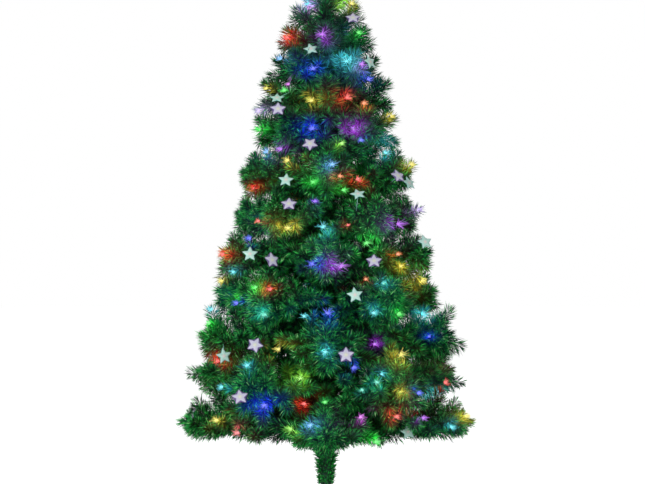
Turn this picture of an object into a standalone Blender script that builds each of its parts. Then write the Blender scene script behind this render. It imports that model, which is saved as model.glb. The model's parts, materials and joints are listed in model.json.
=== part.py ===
"""Fibre optic Christmas tree, 1.8 m tall, as separate pieces.

Metres, +Z up. The origin is on the floor under the trunk, the front of the tree looks along -Y.
A folding cross-leg stand holds a steel socket tube. The lower trunk drops into the socket, the
upper trunk into the lower one and the treetop into the upper one. Seven moulded rings sit on the
trunk, and five branches hang in each ring by a cross-pin, so that they swing up for storage.
"""

import math

import bmesh
import bpy
from mathutils import Matrix, Vector

# Whole tree
TREE_HEIGHT = 1.80
TIER_COUNT = 7
LOWER_TIER_COUNT = 3
BRANCHES_PER_TIER = 5
FIRST_TIER_HEIGHT = 0.305
TIER_SPACING = 0.12
BOTTOM_REACH = 0.474
TIER_REACH_SHARES = (1.0, 0.928, 0.87, 0.80, 0.73, 0.655, 0.59)
FRONT_BACK_REACH_SHARE = 0.964
BOTTOM_INCLINE = math.radians(5.0)
INCLINE_STEP = math.radians(1.5)
FRONT = math.radians(270.0)
BACK = math.radians(90.0)
CLEARANCE = 0.0003

# Trunk tubes
POLE_RADIUS = 0.016
POLE_WALL = 0.0013
POLE_INSERT = 0.06
BEAD_HEIGHT = 0.004
BEAD_STAND = 0.0008
POLE_SIDES = 16

# Hinge rings and the cross-pins that turn in them
RING_RADIUS = 0.036
RING_HEIGHT = 0.022
RING_SIDES = 15
HINGE_RADIUS = 0.026
SLOT_WIDTH = 0.006
SLOT_BACK = 0.0035
SLOT_REACH = 0.02
SLOT_RISE = 0.03
PIN_RADIUS = 0.0018
PIN_LENGTH = 0.016
STEM_RADIUS = 0.0022
STEM_LENGTH = 0.07
STEM_SIDES = 5
PIN_SIDES = 6
POCKET_SIDES = 4

# Brushes: a needle brush is a star section with a scalloped blunt end
BRUSH_START = 0.03
BRUSH_RADIUS = 0.034
TOP_BRUSH_RADIUS = 0.028
TWIG_BRUSH_SHARE = 0.86
BRUSH_ROWS = 3
BRUSH_VALLEY_SHARE = 0.62
BRUSH_RING_SHARES = ((0.0, 0.22), (0.28, 0.86), (0.87, 1.0))
TWIG_RING_SHARES = ((0.0, 0.3), (0.9, 1.0))
BRUSH_NOTCH_SHARE = 0.05
BRUSH_HEART_SHARE = 0.03
BRUSH_SWIRL = math.radians(25.0)

# Twigs on a branch: where each starts and how long it is, as shares of the stem, with its
# spread to the side and its lift out of the branch's own plane
TWIG_START_SHARES = (0.30, 0.38, 0.56, 0.64)
TWIG_LENGTH_SHARES = (0.42, 0.40, 0.36, 0.30)
TWIG_SIDES = (1, -1, 1, -1)
TWIG_SPREADS = (math.radians(44.0), math.radians(42.0), math.radians(36.0), math.radians(33.0))
TWIG_OFFSET = 0.0023
TWIG_LIFTS = (math.radians(9.0), math.radians(5.0), math.radians(-4.0), math.radians(8.0))
TWIGS_PER_TIER = (4, 4, 3, 3, 2, 2, 2)
TOP_TIER_SPREAD_SHARE = 0.8

# Stars
STAR_RADIUS = 0.026
STAR_WAIST_SHARE = 0.45
STAR_THICKNESS = 0.006
STAR_POINTS = 5
STAR_LEAN = math.radians(20.0)
STAR_SEAT_SHARE = 0.62
STAR_STAND_SHARE = 0.5
STAR_ALONG_SHARES = (
    (0.72, 0.60, 0.66, 0.76, 0.62),
    (0.64, 0.70, 0.76, 0.60, 0.68),
    (0.74, 0.62, 0.66, 0.72, 0.64),
    (0.66, 0.75, 0.63, 0.70, 0.72),
    (0.75, 0.65, 0.71, 0.62, 0.67),
    (0.65, 0.73, 0.67, 0.75, 0.63),
    (0.73, 0.66, 0.74, 0.63, 0.70),
)
STAR_TURNS = (math.radians(9.0), math.radians(-13.0), math.radians(17.0), math.radians(-7.0), math.radians(11.0))

# Fibre tufts: bunches of loose fibre ends that stand out of the brush
TUFT_ALONG_SHARES = (0.44, 0.885)
TUFT_COUNTS = (4, 4)
TUFT_RISES = (math.radians(58.0), math.radians(16.0))
TUFT_TIP_SHARES = (1.6, 2.3)
TUFT_ROOT_SHARE = 0.3
TUFT_SPREAD = math.radians(23.0)
TUFT_GAP = 0.0035
STRAND_RADIUS = 0.0014
STRAND_SIDES = 3

# Treetop
WHORL_SPRIGS = (5, 5, 5, 5, 4, 3)
WHORL_HEIGHT_SHARES = (0.066, 0.187, 0.31, 0.434, 0.557, 0.68)
WHORL_REACH_SHARES = (0.50, 0.44, 0.365, 0.29, 0.215, 0.145)
FIRST_WHORL_INCLINE = math.radians(30.0)
WHORL_INCLINE_STEP = math.radians(5.0)
LEADER_TOP_RADIUS = 0.009
LEADER_CORE_RADIUS = 0.016
LEADER_CORE_RISE = 0.016
WHORL_START = 0.006
LEADER_BRUSH_RADIUS = 0.024
LEADER_BRUSH_SHARES = (0.71, 1.0)
LEADER_END_SHARE = 0.874
TOP_STAR_WHORLS = (0, 1, 2, 3, 4)
TOP_STAR_ALONG_SHARE = 0.78
TOP_STAR_SEAT_SHARE = 0.3
TOP_TUFT_ALONG_SHARE = 0.5
TOP_TUFT_RISE = math.radians(50.0)

# Lighting inside the trunk
LOOM_RADIUS = 0.004
POD_RADIUS = 0.009
POD_HEIGHT = 0.012
LOOM_PLUG_HEIGHT = 0.01
LOOM_FOOT_RISE = 0.02

# Direct-current inlet on the back of the lower tube
INLET_HEIGHT = 0.131
INLET_NECK_RADIUS = 0.0042
INLET_NECK_DEPTH = 0.0008
INLET_FLANGE_RADIUS = 0.0085
INLET_FLANGE = 0.0016
INLET_BARREL_RADIUS = 0.0062
INLET_BARREL = 0.010
INLET_BORE_RADIUS = 0.0031
INLET_BORE_DEPTH = 0.0085
INLET_PIN_RADIUS = 0.001
INLET_SIDES = 12

# Needle garland wound round the bare foot of the trunk
GARLAND_BOTTOM = 0.145
GARLAND_TOP_GAP = 0.006
GARLAND_ROWS = 7
GARLAND_FOOT_RADIUS = 0.027
GARLAND_HEAD_RADIUS = 0.042
GARLAND_VALLEY_SHARE = 0.72
GARLAND_RING_COUNT = 5

# Stand
SOCKET_TOP = 0.118
SOCKET_WALL = 0.003
SOCKET_FIT = 0.0005
SOCKET_FLOOR = 0.004
SOCKET_FLOOR_HOLE = 0.008
SPIGOT_RADIUS = 0.012
GROOVE_DEPTH = 0.001
SPIGOT_TAIL = 0.0015
LOCK_RING_RADIUS = 0.020
LOCK_RING_THICKNESS = 0.003
LEG_REACH = 0.245
LEG_WIDTH = 0.028
LEG_THICKNESS = 0.0022
LEG_CROWN = 0.0025
LEG_CROWN_WIDTH = 0.012
LEG_CROWN_SLOPE = 0.003
LEG_GAP = 0.0012
SWING_HUB_HEIGHT = 0.046
TOE_HEIGHT = 0.010
TOE_LENGTH = 0.038
FIXED_FLAT = 0.11
SWING_FLAT = 0.035
BEND_RADIUS = 0.012
BEND_STEPS = 1
CAP_WIDTH = 0.038
CAP_WALL = 0.0025
CAP_DEPTH = 0.024
CAP_BEVEL = 0.002

# Thumb screws that clamp the lower tube
SCREW_COUNT = 3
SCREW_HEIGHT = 0.094
SCREW_RADIUS = 0.003
SCREW_LENGTH = 0.028
KNOB_RADIUS = 0.011
KNOB_THICKNESS = 0.006
KNOB_WAIST_SHARE = 0.8
KNOB_LOBES = 6
NUT_RADIUS = 0.0075
NUT_DEPTH = 0.006
NUT_SIDES = 6
SCREW_SIDES = 8

OVERRUN = 0.01
WELD = 0.000001

# Worked out from the sizes above
UPPER_POLE_RADIUS = POLE_RADIUS - POLE_WALL - CLEARANCE
LEADER_RADIUS = UPPER_POLE_RADIUS - POLE_WALL - CLEARANCE
LOWER_SPLIT = FIRST_TIER_HEIGHT + TIER_SPACING * (LOWER_TIER_COUNT - 0.5)
UPPER_SPLIT = FIRST_TIER_HEIGHT + TIER_SPACING * (TIER_COUNT - 0.5)
FIXED_HUB_HEIGHT = SWING_HUB_HEIGHT + LEG_THICKNESS + LEG_CROWN + LEG_GAP
SOCKET_BOTTOM = FIXED_HUB_HEIGHT + LEG_THICKNESS + LEG_CROWN + CLEARANCE
SOCKET_INNER = POLE_RADIUS + SOCKET_FIT
SOCKET_OUTER = SOCKET_INNER + SOCKET_WALL
POLE_FOOT = SOCKET_BOTTOM + SOCKET_FLOOR + CLEARANCE
TREETOP_HEIGHT = TREE_HEIGHT - UPPER_SPLIT


def clear_scene():
    """Remove every object of the open scene."""
    for obj in list(bpy.data.objects):
        bpy.data.objects.remove(obj, do_unlink=True)


def make_material(name, color, roughness, metallic=0.0):
    """Return a Principled material with a plain colour."""
    material = bpy.data.materials.new(name)
    material.use_nodes = True
    shader = material.node_tree.nodes["Principled BSDF"]
    shader.inputs["Base Color"].default_value = (*color, 1.0)
    shader.inputs["Roughness"].default_value = roughness
    shader.inputs["Metallic"].default_value = metallic
    material.diffuse_color = (*color, 1.0)
    return material


MATERIALS = {
    "needles": ((0.012, 0.095, 0.045), 0.55, 0.0),
    "ring": ((0.02, 0.07, 0.035), 0.45, 0.0),
    "tube": ((0.02, 0.10, 0.05), 0.35, 0.6),
    "steel": ((0.03, 0.05, 0.04), 0.4, 0.7),
    "zinc": ((0.6, 0.6, 0.58), 0.3, 1.0),
    "rubber": ((0.03, 0.03, 0.03), 0.8, 0.0),
    "black_plastic": ((0.02, 0.02, 0.02), 0.4, 0.0),
    "loom": ((0.7, 0.7, 0.66), 0.5, 0.0),
}


def mesh_from(name, points, faces):
    """Return a mesh made of points and faces."""
    mesh = bpy.data.meshes.new(name)
    mesh.from_pydata([tuple(p) for p in points], [], faces)
    mesh.update()
    return mesh


def place(name, mesh, kind, location=(0.0, 0.0, 0.0), rotation=(0.0, 0.0, 0.0), smooth=False):
    """Link a new object with its own material and give it its place."""
    obj = bpy.data.objects.new(name, mesh)
    obj.location = location
    obj.rotation_euler = rotation
    obj.data.materials.clear()
    obj.data.materials.append(make_material(name, *MATERIALS[kind]))
    if smooth:
        obj.data.shade_smooth()
        obj.data.set_sharp_from_angle(angle=math.radians(35.0))
    bpy.context.scene.collection.objects.link(obj)
    return obj


def boolean_all(name, base, others, operation):
    """Join or cut a mesh with others, one exact Boolean each, and return the result as a mesh."""
    collection = bpy.context.scene.collection
    target = bpy.data.objects.new(name, base)
    collection.objects.link(target)
    helpers = []
    for other in others:
        helper = bpy.data.objects.new(name + "_helper", other)
        helper.hide_render = True
        helper.display_type = "WIRE"
        collection.objects.link(helper)
        helpers.append(helper)
        modifier = target.modifiers.new("step", "BOOLEAN")
        modifier.operation = operation
        modifier.solver = "EXACT"
        modifier.object = helper
    graph = bpy.context.evaluated_depsgraph_get()
    graph.update()
    result = bpy.data.meshes.new_from_object(target.evaluated_get(graph))
    shape = bmesh.new()
    shape.from_mesh(result)
    bmesh.ops.remove_doubles(shape, verts=shape.verts, dist=WELD)
    bmesh.ops.dissolve_degenerate(shape, edges=shape.edges, dist=WELD)
    shape.to_mesh(result)
    shape.free()
    for obj in [target, *helpers]:
        bpy.data.objects.remove(obj, do_unlink=True)
    result.name = name
    return result


def turned(name, profile, sides):
    """Revolve a closed profile of (radius, height) points, outer side running downwards."""
    points = []
    for radius, height in profile:
        for side in range(sides):
            angle = math.tau * side / sides
            points.append((radius * math.cos(angle), radius * math.sin(angle), height))
    faces = []
    rows = len(profile)
    for row in range(rows):
        low, high = row * sides, (row + 1) % rows * sides
        for side in range(sides):
            after = (side + 1) % sides
            faces.append((low + side, high + side, high + after, low + after))
    return mesh_from(name, points, faces)


def loft(name, rings, start_heart=None, end_heart=None):
    """Join rings of equally many points into a closed body, capped by a fan or a flat face."""
    count = len(rings[0])
    points = [p for ring in rings for p in ring]
    faces = []
    for row in range(len(rings) - 1):
        low, high = row * count, (row + 1) * count
        for side in range(count):
            after = (side + 1) % count
            faces.append((low + side, low + after, high + after, high + side))
    last = (len(rings) - 1) * count
    if start_heart is None:
        faces.append(tuple(reversed(range(count))))
    else:
        points.append(start_heart)
        heart = len(points) - 1
        faces += [(heart, (side + 1) % count, side) for side in range(count)]
    if end_heart is None:
        faces.append(tuple(range(last, last + count)))
    else:
        points.append(end_heart)
        heart = len(points) - 1
        faces += [(heart, last + side, last + (side + 1) % count) for side in range(count)]
    return mesh_from(name, points, faces)


def frame_along(start, tip):
    """Return a matrix whose Z runs from start to tip, with its origin at start."""
    direction = (tip - start).normalized()
    turn = direction.to_track_quat("Z", "X").to_matrix().to_4x4()
    return Matrix.Translation(start) @ turn


def rod(name, start, tip, radius, sides):
    """Return a straight closed rod between two points."""
    frame = frame_along(start, tip)
    length = (tip - start).length
    rings = []
    for height in (0.0, length):
        ring = []
        for side in range(sides):
            angle = math.tau * (side + 0.5) / sides
            ring.append(frame @ Vector((radius * math.cos(angle), radius * math.sin(angle), height)))
        rings.append(ring)
    return loft(name, rings)


def strand(name, root, tip):
    """Return one fibre end: a slim three-sided spike."""
    frame = frame_along(root, tip)
    ring = []
    for side in range(STRAND_SIDES):
        angle = math.tau * side / STRAND_SIDES
        ring.append(frame @ Vector((STRAND_RADIUS * math.cos(angle), STRAND_RADIUS * math.sin(angle), 0.0)))
    return loft(name, [ring], end_heart=tip)


def brush(name, start, tip, radius, ring_shares=TWIG_RING_SHARES, swirl_start=0.0):
    """Return a needle brush: star sections that open out and end in a scalloped blunt tip."""
    frame = frame_along(start, tip)
    length = (tip - start).length
    count = BRUSH_ROWS * 2
    rings = []
    for number, (along_share, radius_share) in enumerate(ring_shares):
        ring = []
        for side in range(count):
            valley = side % 2 == 1
            reach = radius * radius_share * (BRUSH_VALLEY_SHARE if valley else 1.0)
            last = number == len(ring_shares) - 1
            height = length if last and not valley else length * along_share
            if last and valley:
                height = length * (1.0 - BRUSH_NOTCH_SHARE)
            angle = math.tau * side / count + swirl_start + BRUSH_SWIRL * along_share
            ring.append(frame @ Vector((reach * math.cos(angle), reach * math.sin(angle), height)))
        rings.append(ring)
    heart = frame @ Vector((0.0, 0.0, length * (1.0 - BRUSH_HEART_SHARE)))
    return loft(name, rings, end_heart=heart)


def star(name, centre, normal, up):
    """Return a five-pointed star with ridged faces and thin edges, one point up, round a centre."""
    side_axis = up.cross(normal).normalized()
    top_axis = normal.cross(side_axis).normalized()
    ring = []
    for corner in range(STAR_POINTS * 2):
        angle = math.pi * corner / STAR_POINTS
        reach = STAR_RADIUS * (1.0 if corner % 2 == 0 else STAR_WAIST_SHARE)
        ring.append(centre + (top_axis * math.cos(angle) + side_axis * math.sin(angle)) * reach)
    half = normal * STAR_THICKNESS / 2
    return loft(name, [ring], centre - half, centre + half)


def tier_height(tier):
    """Height of the hinge axes of a tier."""
    return FIRST_TIER_HEIGHT + TIER_SPACING * tier


def tier_incline(tier):
    """Rest slope of a tier's branches above the horizontal."""
    return BOTTOM_INCLINE + INCLINE_STEP * tier


def branch_azimuth(tier, number):
    """Direction of a branch seen from above; tiers alternate front and back."""
    first = FRONT if tier % 2 == 0 else BACK
    return first + math.tau * number / BRANCHES_PER_TIER


def branch_reach(tier, number):
    """Distance of a branch's tip from the trunk's axis."""
    if tier < 2 and number == 0:
        return BOTTOM_REACH * FRONT_BACK_REACH_SHARE
    return BOTTOM_REACH * TIER_REACH_SHARES[tier]


def branch_parts(tier, number):
    """Return the stem, the brushes, the star and the fibre ends of one branch, hinge at the origin."""
    length = (branch_reach(tier, number) - HINGE_RADIUS) / math.cos(tier_incline(tier))
    rank = tier / (TIER_COUNT - 1)
    radius = BRUSH_RADIUS + (TOP_BRUSH_RADIUS - BRUSH_RADIUS) * rank
    squeeze = 1.0 + (TOP_TIER_SPREAD_SHARE - 1.0) * rank
    forward = Vector((1.0, 0.0, 0.0))
    stem = rod("stem", Vector((0.0, 0.0, 0.0)), forward * STEM_LENGTH, STEM_RADIUS, STEM_SIDES)
    half_pin = Vector((0.0, PIN_LENGTH / 2, 0.0))
    parts = [rod("pin", -half_pin, half_pin, PIN_RADIUS, PIN_SIDES)]
    parts.append(brush("main", forward * BRUSH_START, forward * length, radius, BRUSH_RING_SHARES))
    hand = 1 if tier % 2 == 0 else -1
    for twig in range(TWIGS_PER_TIER[tier]):
        spread = TWIG_SPREADS[twig] * TWIG_SIDES[twig] * hand * squeeze
        lift = TWIG_LIFTS[twig]
        side = TWIG_SIDES[twig] * hand
        start = forward * length * TWIG_START_SHARES[twig] + Vector((0.0, TWIG_OFFSET * side, TWIG_OFFSET / 2))
        heading = Vector((math.cos(spread) * math.cos(lift), math.sin(spread) * math.cos(lift), math.sin(lift)))
        tip = start + heading * length * TWIG_LENGTH_SHARES[twig]
        parts.append(brush("twig", start, tip, radius * TWIG_BRUSH_SHARE, swirl_start=BRUSH_SWIRL * (twig + 1)))
    along = length * STAR_ALONG_SHARES[tier][number]
    centre = Vector((along, 0.0, radius * STAR_SEAT_SHARE + STAR_RADIUS * STAR_STAND_SHARE))
    normal = Vector((math.cos(STAR_LEAN), 0.0, math.sin(STAR_LEAN)))
    normal.rotate(Matrix.Rotation(STAR_TURNS[number], 3, "Z"))
    parts.append(star("star", centre, normal, Vector((0.0, 0.0, 1.0))))
    for tuft, along_share in enumerate(TUFT_ALONG_SHARES):
        rise = TUFT_RISES[tuft]
        for end in range(TUFT_COUNTS[tuft]):
            step = end - (TUFT_COUNTS[tuft] - 1) / 2
            fan = TUFT_SPREAD * step
            heading = Vector((math.cos(rise), math.sin(rise) * math.sin(fan), math.sin(rise) * math.cos(fan)))
            if tuft == 1:
                heading = Vector((math.cos(rise) * math.cos(fan), math.cos(rise) * math.sin(fan), math.sin(rise)))
            root = forward * length * along_share + Vector((0.0, TUFT_GAP * step, 0.0))
            root = root + heading * radius * TUFT_ROOT_SHARE
            parts.append(strand("strand", root, root + heading * radius * TUFT_TIP_SHARES[tuft]))
    return stem, parts


def build_branches():
    """Make the thirty-five hinged branches, each with its origin on its hinge axis."""
    for tier in range(TIER_COUNT):
        for number in range(BRANCHES_PER_TIER):
            name = f"branch_{tier + 1}_{number + 1}"
            stem, parts = branch_parts(tier, number)
            mesh = boolean_all(name, stem, parts, "UNION")
            azimuth = branch_azimuth(tier, number)
            hinge = (HINGE_RADIUS * math.cos(azimuth), HINGE_RADIUS * math.sin(azimuth), tier_height(tier))
            place(name, mesh, "needles", hinge, (0.0, -tier_incline(tier), azimuth))


def build_rings():
    """Make the moulded rings, each with five slots and the blind pockets that hold the pins."""
    for tier in range(TIER_COUNT):
        pole = POLE_RADIUS if tier < LOWER_TIER_COUNT else UPPER_POLE_RADIUS
        half = RING_HEIGHT / 2
        bore = (pole + CLEARANCE) / math.cos(math.pi / RING_SIDES)
        profile = ((bore, half), (RING_RADIUS, half), (RING_RADIUS, -half), (bore, -half))
        body = turned("ring", profile, RING_SIDES)
        cutters = []
        for number in range(BRANCHES_PER_TIER):
            turn = Matrix.Rotation(branch_azimuth(tier, number), 4, "Z")
            turn = turn @ Matrix.Translation((HINGE_RADIUS, 0.0, 0.0))
            turn = turn @ Matrix.Rotation(-tier_incline(tier), 4, "Y")
            low = Vector((-SLOT_BACK, -SLOT_WIDTH / 2, -STEM_RADIUS - CLEARANCE))
            high = Vector((SLOT_REACH, SLOT_WIDTH / 2, SLOT_RISE))
            cutters.append(box_mesh("slot", low, high, turn))
            half_pocket = Vector((0.0, PIN_LENGTH / 2 + CLEARANCE, 0.0))
            across = (PIN_RADIUS + CLEARANCE) / math.cos(math.pi / POCKET_SIDES)
            pocket = rod("pocket", -half_pocket, half_pocket, across, POCKET_SIDES)
            pocket.transform(turn)
            cutters.append(pocket)
        name = f"hinge_ring_{tier + 1}"
        mesh = boolean_all(name, body, cutters, "DIFFERENCE")
        place(name, mesh, "ring", (0.0, 0.0, tier_height(tier)))


def box_mesh(name, low, high, turn=None):
    """Return a closed box between two corners, turned by a matrix if one is given."""
    xs, ys, zs = (low.x, high.x), (low.y, high.y), (low.z, high.z)
    rings = [
        [Vector((xs[0], ys[0], z)), Vector((xs[1], ys[0], z)), Vector((xs[1], ys[1], z)), Vector((xs[0], ys[1], z))]
        for z in zs
    ]
    mesh = loft(name, rings)
    if turn is not None:
        mesh.transform(turn)
    return mesh


def build_poles():
    """Make the two steel tubes of the trunk; the upper one has a rolled bead that stops it."""
    inner = POLE_RADIUS - POLE_WALL
    profile = ((inner, LOWER_SPLIT), (POLE_RADIUS, LOWER_SPLIT), (POLE_RADIUS, POLE_FOOT), (inner, POLE_FOOT))
    tube = turned("tube", profile, POLE_SIDES)
    start = Vector((0.0, inner - CLEARANCE - INLET_NECK_DEPTH, INLET_HEIGHT))
    hole = rod("hole", start, Vector((0.0, POLE_RADIUS + OVERRUN, INLET_HEIGHT)), INLET_NECK_RADIUS + CLEARANCE,
               INLET_SIDES)
    place("lower_pole", boolean_all("lower_pole", tube, [hole], "DIFFERENCE"), "tube", smooth=True)

    inner = UPPER_POLE_RADIUS - POLE_WALL
    bead_foot = LOWER_SPLIT + CLEARANCE
    bead = POLE_RADIUS + BEAD_STAND
    profile = (
        (inner, UPPER_SPLIT),
        (UPPER_POLE_RADIUS, UPPER_SPLIT),
        (UPPER_POLE_RADIUS, bead_foot + BEAD_HEIGHT),
        (bead, bead_foot + BEAD_HEIGHT - BEAD_STAND),
        (bead, bead_foot),
        (UPPER_POLE_RADIUS, bead_foot),
        (UPPER_POLE_RADIUS, LOWER_SPLIT - POLE_INSERT),
        (inner, LOWER_SPLIT - POLE_INSERT),
    )
    place("upper_pole", turned("upper_pole", profile, POLE_SIDES), "tube", smooth=True)


def loom_profile(foot, head, bore, pods):
    """Outline of a lighting loom: end plugs that fit the bore, a cable and a lamp pod per tier."""
    plug = bore - CLEARANCE
    steps = [(head, head - LOOM_PLUG_HEIGHT, plug)]
    for height in sorted(pods, reverse=True):
        steps.append((height + POD_HEIGHT / 2, height - POD_HEIGHT / 2, POD_RADIUS))
    steps.append((foot + LOOM_PLUG_HEIGHT, foot, plug))
    outline = []
    for number, (top, bottom, radius) in enumerate(steps):
        if number > 0:
            outline.append((LOOM_RADIUS, top))
        outline += [(radius, top), (radius, bottom)]
        if number < len(steps) - 1:
            outline.append((LOOM_RADIUS, bottom))
    return outline


def build_looms():
    """Make the lighting looms that stand inside the tubes and plug together at the split."""
    inner = POLE_RADIUS - POLE_WALL
    foot = INLET_HEIGHT + LOOM_FOOT_RISE
    head = LOWER_SPLIT - POLE_INSERT - CLEARANCE
    pods = [tier_height(tier) for tier in range(LOWER_TIER_COUNT) if tier_height(tier) < head - LOOM_PLUG_HEIGHT * 2]
    place("loom_lower", solid_turned("loom_lower", loom_profile(foot, head, inner, pods)), "loom")
    inner = UPPER_POLE_RADIUS - POLE_WALL
    foot = LOWER_SPLIT - POLE_INSERT
    head = UPPER_SPLIT - POLE_INSERT - CLEARANCE
    pods = [tier_height(tier) for tier in range(LOWER_TIER_COUNT, TIER_COUNT)]
    pods = [height for height in pods if height < head - LOOM_PLUG_HEIGHT * 2]
    place("loom_upper", solid_turned("loom_upper", loom_profile(foot, head, inner, pods)), "loom")


def solid_turned(name, outline, sides=POLE_SIDES // 2):
    """Revolve an outline that runs downwards into a body with no bore."""
    rings = []
    for radius, height in reversed(outline):
        rings.append([
            Vector((radius * math.cos(math.tau * side / sides), radius * math.sin(math.tau * side / sides), height))
            for side in range(sides)
        ])
    return loft(name, rings)


def build_inlet():
    """Make the power inlet: a neck in the tube's wall, a flange and a barrel with its pin."""
    seat = POLE_RADIUS + CLEARANCE
    neck = seat - POLE_WALL - INLET_NECK_DEPTH
    mouth = seat + INLET_FLANGE + INLET_BARREL
    outline = (
        (INLET_BORE_RADIUS, mouth),
        (INLET_BARREL_RADIUS, mouth),
        (INLET_BARREL_RADIUS, seat + INLET_FLANGE),
        (INLET_FLANGE_RADIUS, seat + INLET_FLANGE),
        (INLET_FLANGE_RADIUS, seat),
        (INLET_NECK_RADIUS, seat),
        (INLET_NECK_RADIUS, neck),
    )
    floor = mouth - INLET_BORE_DEPTH
    pin_top = mouth - INLET_PIN_RADIUS
    cavity = ((INLET_PIN_RADIUS, pin_top), (INLET_PIN_RADIUS, floor), (INLET_BORE_RADIUS, floor))
    rings = []
    for radius, height in [*reversed(outline), *reversed(cavity)]:
        rings.append([
            Vector((radius * math.cos(math.tau * side / INLET_SIDES), radius * math.sin(math.tau * side / INLET_SIDES),
                    height))
            for side in range(INLET_SIDES)
        ])
    mesh = loft("dc_inlet", rings)
    mesh.transform(Matrix.Rotation(-math.pi / 2, 4, "X"))
    place("dc_inlet", mesh, "black_plastic", (0.0, 0.0, INLET_HEIGHT), smooth=True)


def build_garland():
    """Make the needle garland round the foot of the trunk, a ridged sleeve over the tube."""
    top = FIRST_TIER_HEIGHT - RING_HEIGHT / 2 - GARLAND_TOP_GAP
    count = GARLAND_ROWS * 2
    rings = []
    for row in range(GARLAND_RING_COUNT):
        share = row / (GARLAND_RING_COUNT - 1)
        radius = GARLAND_FOOT_RADIUS + (GARLAND_HEAD_RADIUS - GARLAND_FOOT_RADIUS) * math.sin(share * math.pi / 2)
        ring = []
        for side in range(count):
            reach = radius * (GARLAND_VALLEY_SHARE if side % 2 else 1.0)
            angle = math.tau * side / count + BRUSH_SWIRL * share * 2
            height = GARLAND_BOTTOM + (top - GARLAND_BOTTOM) * share
            ring.append(Vector((reach * math.cos(angle), reach * math.sin(angle), height)))
        rings.append(ring)
    sleeve = loft("sleeve", rings)
    bore_radius = (POLE_RADIUS + CLEARANCE) / math.cos(math.pi / POLE_SIDES)
    bore = rod("bore", Vector((0.0, 0.0, GARLAND_BOTTOM - OVERRUN)), Vector((0.0, 0.0, top + OVERRUN)), bore_radius,
               POLE_SIDES)
    place("trunk_garland", boolean_all("trunk_garland", sleeve, [bore], "DIFFERENCE"), "needles")


def treetop_level(share):
    """Height at a share of the way from the upper split to the tip of the tree."""
    return UPPER_SPLIT + TREETOP_HEIGHT * share


def build_treetop():
    """Make the one-piece treetop: spigot with its bead, leader, fixed whorls of brushes and stars."""
    bead_foot = UPPER_SPLIT + CLEARANCE
    bead = UPPER_POLE_RADIUS + BEAD_STAND
    outline = (
        (LEADER_TOP_RADIUS, treetop_level(LEADER_END_SHARE)),
        (LEADER_CORE_RADIUS, bead_foot + BEAD_HEIGHT + LEADER_CORE_RISE),
        (LEADER_RADIUS, bead_foot + BEAD_HEIGHT),
        (bead, bead_foot + BEAD_HEIGHT - BEAD_STAND),
        (bead, bead_foot),
        (LEADER_RADIUS, bead_foot),
        (LEADER_RADIUS, UPPER_SPLIT - POLE_INSERT),
    )
    leader = solid_turned("leader", outline, POLE_SIDES)
    low, high = (Vector((0.0, 0.0, treetop_level(share))) for share in LEADER_BRUSH_SHARES)
    parts = [brush("leader_brush", low, high, LEADER_BRUSH_RADIUS)]
    for whorl, sprigs in enumerate(WHORL_SPRIGS):
        incline = FIRST_WHORL_INCLINE + WHORL_INCLINE_STEP * whorl
        length = BOTTOM_REACH * WHORL_REACH_SHARES[whorl] / math.cos(incline)
        for number in range(sprigs):
            azimuth = (BACK if whorl % 2 == 0 else FRONT) + math.tau * number / sprigs
            outward = Vector((math.cos(azimuth), math.sin(azimuth), 0.0))
            heading = outward * math.cos(incline) + Vector((0.0, 0.0, math.sin(incline)))
            start = Vector((0.0, 0.0, treetop_level(WHORL_HEIGHT_SHARES[whorl]))) + outward * WHORL_START
            parts.append(brush("whorl", start, start + heading * length, TOP_BRUSH_RADIUS, swirl_start=BRUSH_SWIRL * number))
            if whorl in TOP_STAR_WHORLS and number == whorl % sprigs:
                rise = outward * -math.sin(incline) + Vector((0.0, 0.0, math.cos(incline)))
                centre = start + heading * length * TOP_STAR_ALONG_SHARE
                centre = centre + rise * (TOP_BRUSH_RADIUS * TOP_STAR_SEAT_SHARE + STAR_RADIUS * STAR_STAND_SHARE)
                parts.append(star("star", centre, outward, Vector((0.0, 0.0, 1.0))))
                parts += top_tuft(start + heading * length * TOP_TUFT_ALONG_SHARE, heading, rise)
    place("treetop", boolean_all("treetop", leader, parts, "UNION"), "needles")


def top_tuft(root, heading, rise):
    """Return four fibre ends that fan out forwards over a treetop brush."""
    across = heading.cross(rise)
    strands = []
    for end in range(TUFT_COUNTS[0]):
        step = end - (TUFT_COUNTS[0] - 1) / 2
        fan = TUFT_SPREAD * step
        aim = (heading * math.cos(TOP_TUFT_RISE) + rise * math.sin(TOP_TUFT_RISE)) * math.cos(fan) + across * math.sin(fan)
        foot = root + across * TUFT_GAP * step + aim * TOP_BRUSH_RADIUS * TUFT_ROOT_SHARE
        strands.append(strand("strand", foot, foot + aim * TOP_BRUSH_RADIUS * TUFT_TIP_SHARES[0]))
    return strands


def hat_section():
    """Outline of a pressed leg: flat flanges with a raised crown, one even thickness."""
    edge, foot, top = LEG_WIDTH / 2, LEG_CROWN_WIDTH / 2 + LEG_CROWN_SLOPE, LEG_CROWN_WIDTH / 2
    lower = [(-edge, 0.0), (-foot, 0.0), (-top, LEG_CROWN), (top, LEG_CROWN), (foot, 0.0), (edge, 0.0)]
    upper = [(across, height + LEG_THICKNESS) for across, height in reversed(lower)]
    return lower + upper


def leg_path(hub_height, flat):
    """Half of a leg's line as (distance, height), with both bends rounded by arcs."""
    corners = [(0.0, hub_height), (flat, hub_height), (LEG_REACH - TOE_LENGTH, TOE_HEIGHT), (LEG_REACH, TOE_HEIGHT)]
    path = [corners[0]]
    for before, corner, after in zip(corners, corners[1:], corners[2:]):
        here = Vector(corner)
        back = (Vector(before) - here).normalized() * BEND_RADIUS
        on = (Vector(after) - here).normalized() * BEND_RADIUS
        for step in range(BEND_STEPS + 1):
            share = step / BEND_STEPS
            point = here + back * (1.0 - share) ** 2 + on * share ** 2
            path.append((point.x, point.y))
    path.append(corners[-1])
    return path


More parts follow.
